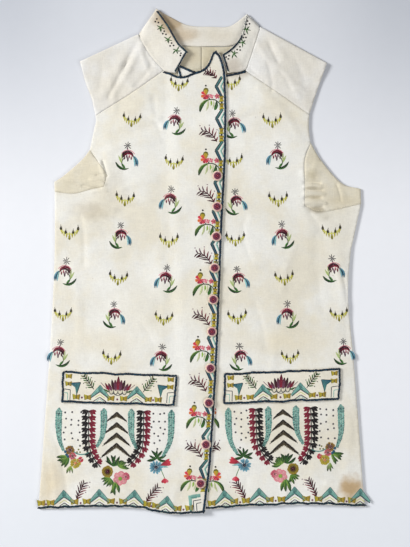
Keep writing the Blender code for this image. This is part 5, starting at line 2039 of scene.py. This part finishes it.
class Buttons:
    """The silk-worked buttons, each a cloth dome with its stitches."""

    section = ((0.0, 0.0), (0.78, 0.0), (0.95, 0.55), (1.0, 1.5), (0.95, 2.35), (0.84, 2.95), (0.68, 3.3),
               (0.5, 3.55), (0.3, 3.75), (0.12, 3.88))
    turns = 36

    @staticmethod
    def dome(distance: np.ndarray) -> np.ndarray:
        """Height of a button's face at a share of its radius."""
        return BUTTON_TOP * (1 - np.clip(distance, 0, 1) ** 3.2 * 0.42) * np.where(distance > 0.93, 0.93, 1.0)

    def _one(self, number: int, x: float, y: float) -> None:
        """Build and work one button."""
        reach = BUTTON_RADIUS
        a = [float(CLOTH.lap(np.array([x + dx]), np.array([y + dy]))[0])
             for dx, dy in ((reach, 0), (-reach, 0), (0, reach), (0, -reach))]
        slope = np.array([(a[0] - a[1]) / (2 * reach), (a[2] - a[3]) / (2 * reach)])
        seat = sum(a) / 4 + FRONT_WALL / 2 + LAP_GAP
        work = Needlework(f"button_{number:02d}_cover", 70 + number)
        for ring, (inner, outer, dye, tip, count) in enumerate((
                (0.0, 0.4, Dye.MAROON, Dye.CRIMSON, 22), (0.32, 0.62, Dye.MAROON, Dye.PLUM, 40),
                (0.6, 0.74, Dye.PLUM, Dye.PINK, 44), (0.7, 0.97, Dye.CREAM, Dye.PINK, 50))):
            for turn in range(count):
                angle = TAU * (turn + 0.5 * (ring % 2)) / count
                way = np.array([math.cos(angle), math.sin(angle)])
                lean = np.array([-way[1], way[0]]) * 0.25
                work.stitch(way * inner * reach, way * outer * reach + lean,
                            work.dye(dye, tip, work.hand.random() * 0.8), 0.8, 0.22, 0.05 + 0.04 * (3 - ring))
        work.knot((0.0, 0.0), Dye.PINK, 0.8, 0.6)
        for turn in range(6):
            angle = TAU * turn / 6 + 0.3
            work.knot((2.4 * math.cos(angle), 2.4 * math.sin(angle)), Dye.PINK, 0.5, 0.5)
        rows = [(share * reach, rise) for share, rise in self.section] + [(0.0, BUTTON_TOP)]
        verts = [(0.0, 0.0, 0.0)]
        for radius, rise in rows[1:-1]:
            for turn in range(self.turns):
                angle = TAU * turn / self.turns
                verts.append((radius * math.cos(angle), radius * math.sin(angle), rise))
        verts.append((0.0, 0.0, BUTTON_TOP))
        faces = [[0, 1 + (turn + 1) % self.turns, 1 + turn] for turn in range(self.turns)]
        for ring in range(len(rows) - 3):
            low = 1 + ring * self.turns
            for turn in range(self.turns):
                after = (turn + 1) % self.turns
                faces.append([low + turn, low + after, low + self.turns + after, low + self.turns + turn])
        top = 1 + (len(rows) - 3) * self.turns
        faces += [[top + turn, top + (turn + 1) % self.turns, len(verts) - 1] for turn in range(self.turns)]
        points = np.array(verts)
        points[:, 2] += seat + points[:, 0:2] @ slope
        points[:, 0:2] += (x, y)
        linen = Linen(f"button_linen_{number:02d}", linear(228, 216, 198), linear(206, 190, 158), 0.6, 0.06)
        add_piece(f"button_{number:02d}_dome", points, faces, linen.material(), (f"button_{number:02d}",))
        for rows_here in (work.stitches, work.knots):
            for index, row in enumerate(rows_here):
                places = 4 if rows_here is work.stitches else 2
                moved = [v + (x if k % 2 == 0 else y) for k, v in enumerate(row[:places])]
                rows_here[index] = (*moved, *row[places:])

        def surface(u: np.ndarray, v: np.ndarray) -> np.ndarray:
            """Height of the button's face."""
            away = np.hypot(u - x, v - y) / reach
            return seat + (u - x) * slope[0] + (v - y) * slope[1] + self.dome(away) - 0.03

        work.build(surface, SILK.material(), "button_silk")

    def build(self) -> None:
        """Build the row."""
        for number, (x, y) in enumerate(BUTTONS, start=1):
            self._one(number, x, y)


class Studio:
    """Pale paper, soft light and the camera straight above."""

    frame_height = 754.9
    distance = 2200.0
    aim = (4.7, -16.6)

    def _light(self, name: str, place: tuple[float, float, float], size: float, power: float,
               colour: Colour = (1.0, 1.0, 1.0)) -> None:
        """Hang one soft square light that faces the waistcoat."""
        data = bpy.data.lights.new(name, "AREA")
        data.size = size
        data.energy = power
        data.color = colour
        item = bpy.data.objects.new(name, data)
        item.location = place
        item.rotation_euler = (-Vector(place)).to_track_quat("-Z", "Y").to_euler()
        bpy.context.scene.collection.objects.link(item)

    def build(self) -> None:
        """Set up floor, light and camera."""
        mesh = bpy.data.meshes.new("floor")
        reach, low = 3.0, -0.0002
        mesh.from_pydata([(-reach, -reach, low), (reach, -reach, low), (reach, reach, low),
                          (-reach, reach, low)],
                         [], [(0, 1, 2, 3)])
        mesh.materials.append(Backdrop().material())
        floor = bpy.data.objects.new("floor", mesh)
        bpy.context.scene.collection.objects.link(floor)
        world = bpy.data.worlds.new("studio")
        world.use_nodes = True
        world.node_tree.nodes["Background"].inputs["Color"].default_value = (0.96, 0.975, 1.0, 1.0)
        world.node_tree.nodes["Background"].inputs["Strength"].default_value = 0.36
        bpy.context.scene.world = world
        self._light("key", (-2.9, 1.0, 2.0), 1.1, 138.0, (1.0, 0.99, 0.975))
        self._light("fill", (2.2, -1.6, 2.6), 1.8, 46.0)
        data = bpy.data.cameras.new("camera")
        data.sensor_width = 36.0
        data.lens = 36.0 * self.distance / self.frame_height
        camera = bpy.data.objects.new("camera", data)
        camera.location = (self.aim[0] * MM, self.aim[1] * MM, self.distance * MM)
        bpy.context.scene.collection.objects.link(camera)
        bpy.context.scene.camera = camera
        bpy.context.scene.view_settings.view_transform = "Standard"


def main() -> None:
    """Build the waistcoat's looks in order."""
    logging.basicConfig(level=logging.INFO, format="%(name)s %(message)s")
    BackCloth().build()
    BackLining().build()
    Fronts().build()
    Underarms().build()
    collar = Collar()
    collar.build()
    PocketFlaps().build()
    FrontEmbroidery().build()
    CollarEmbroidery().build(collar)
    SeamStitches().build()
    Buttons().build()
    Studio().build()


if __name__ == "__main__":
    main()
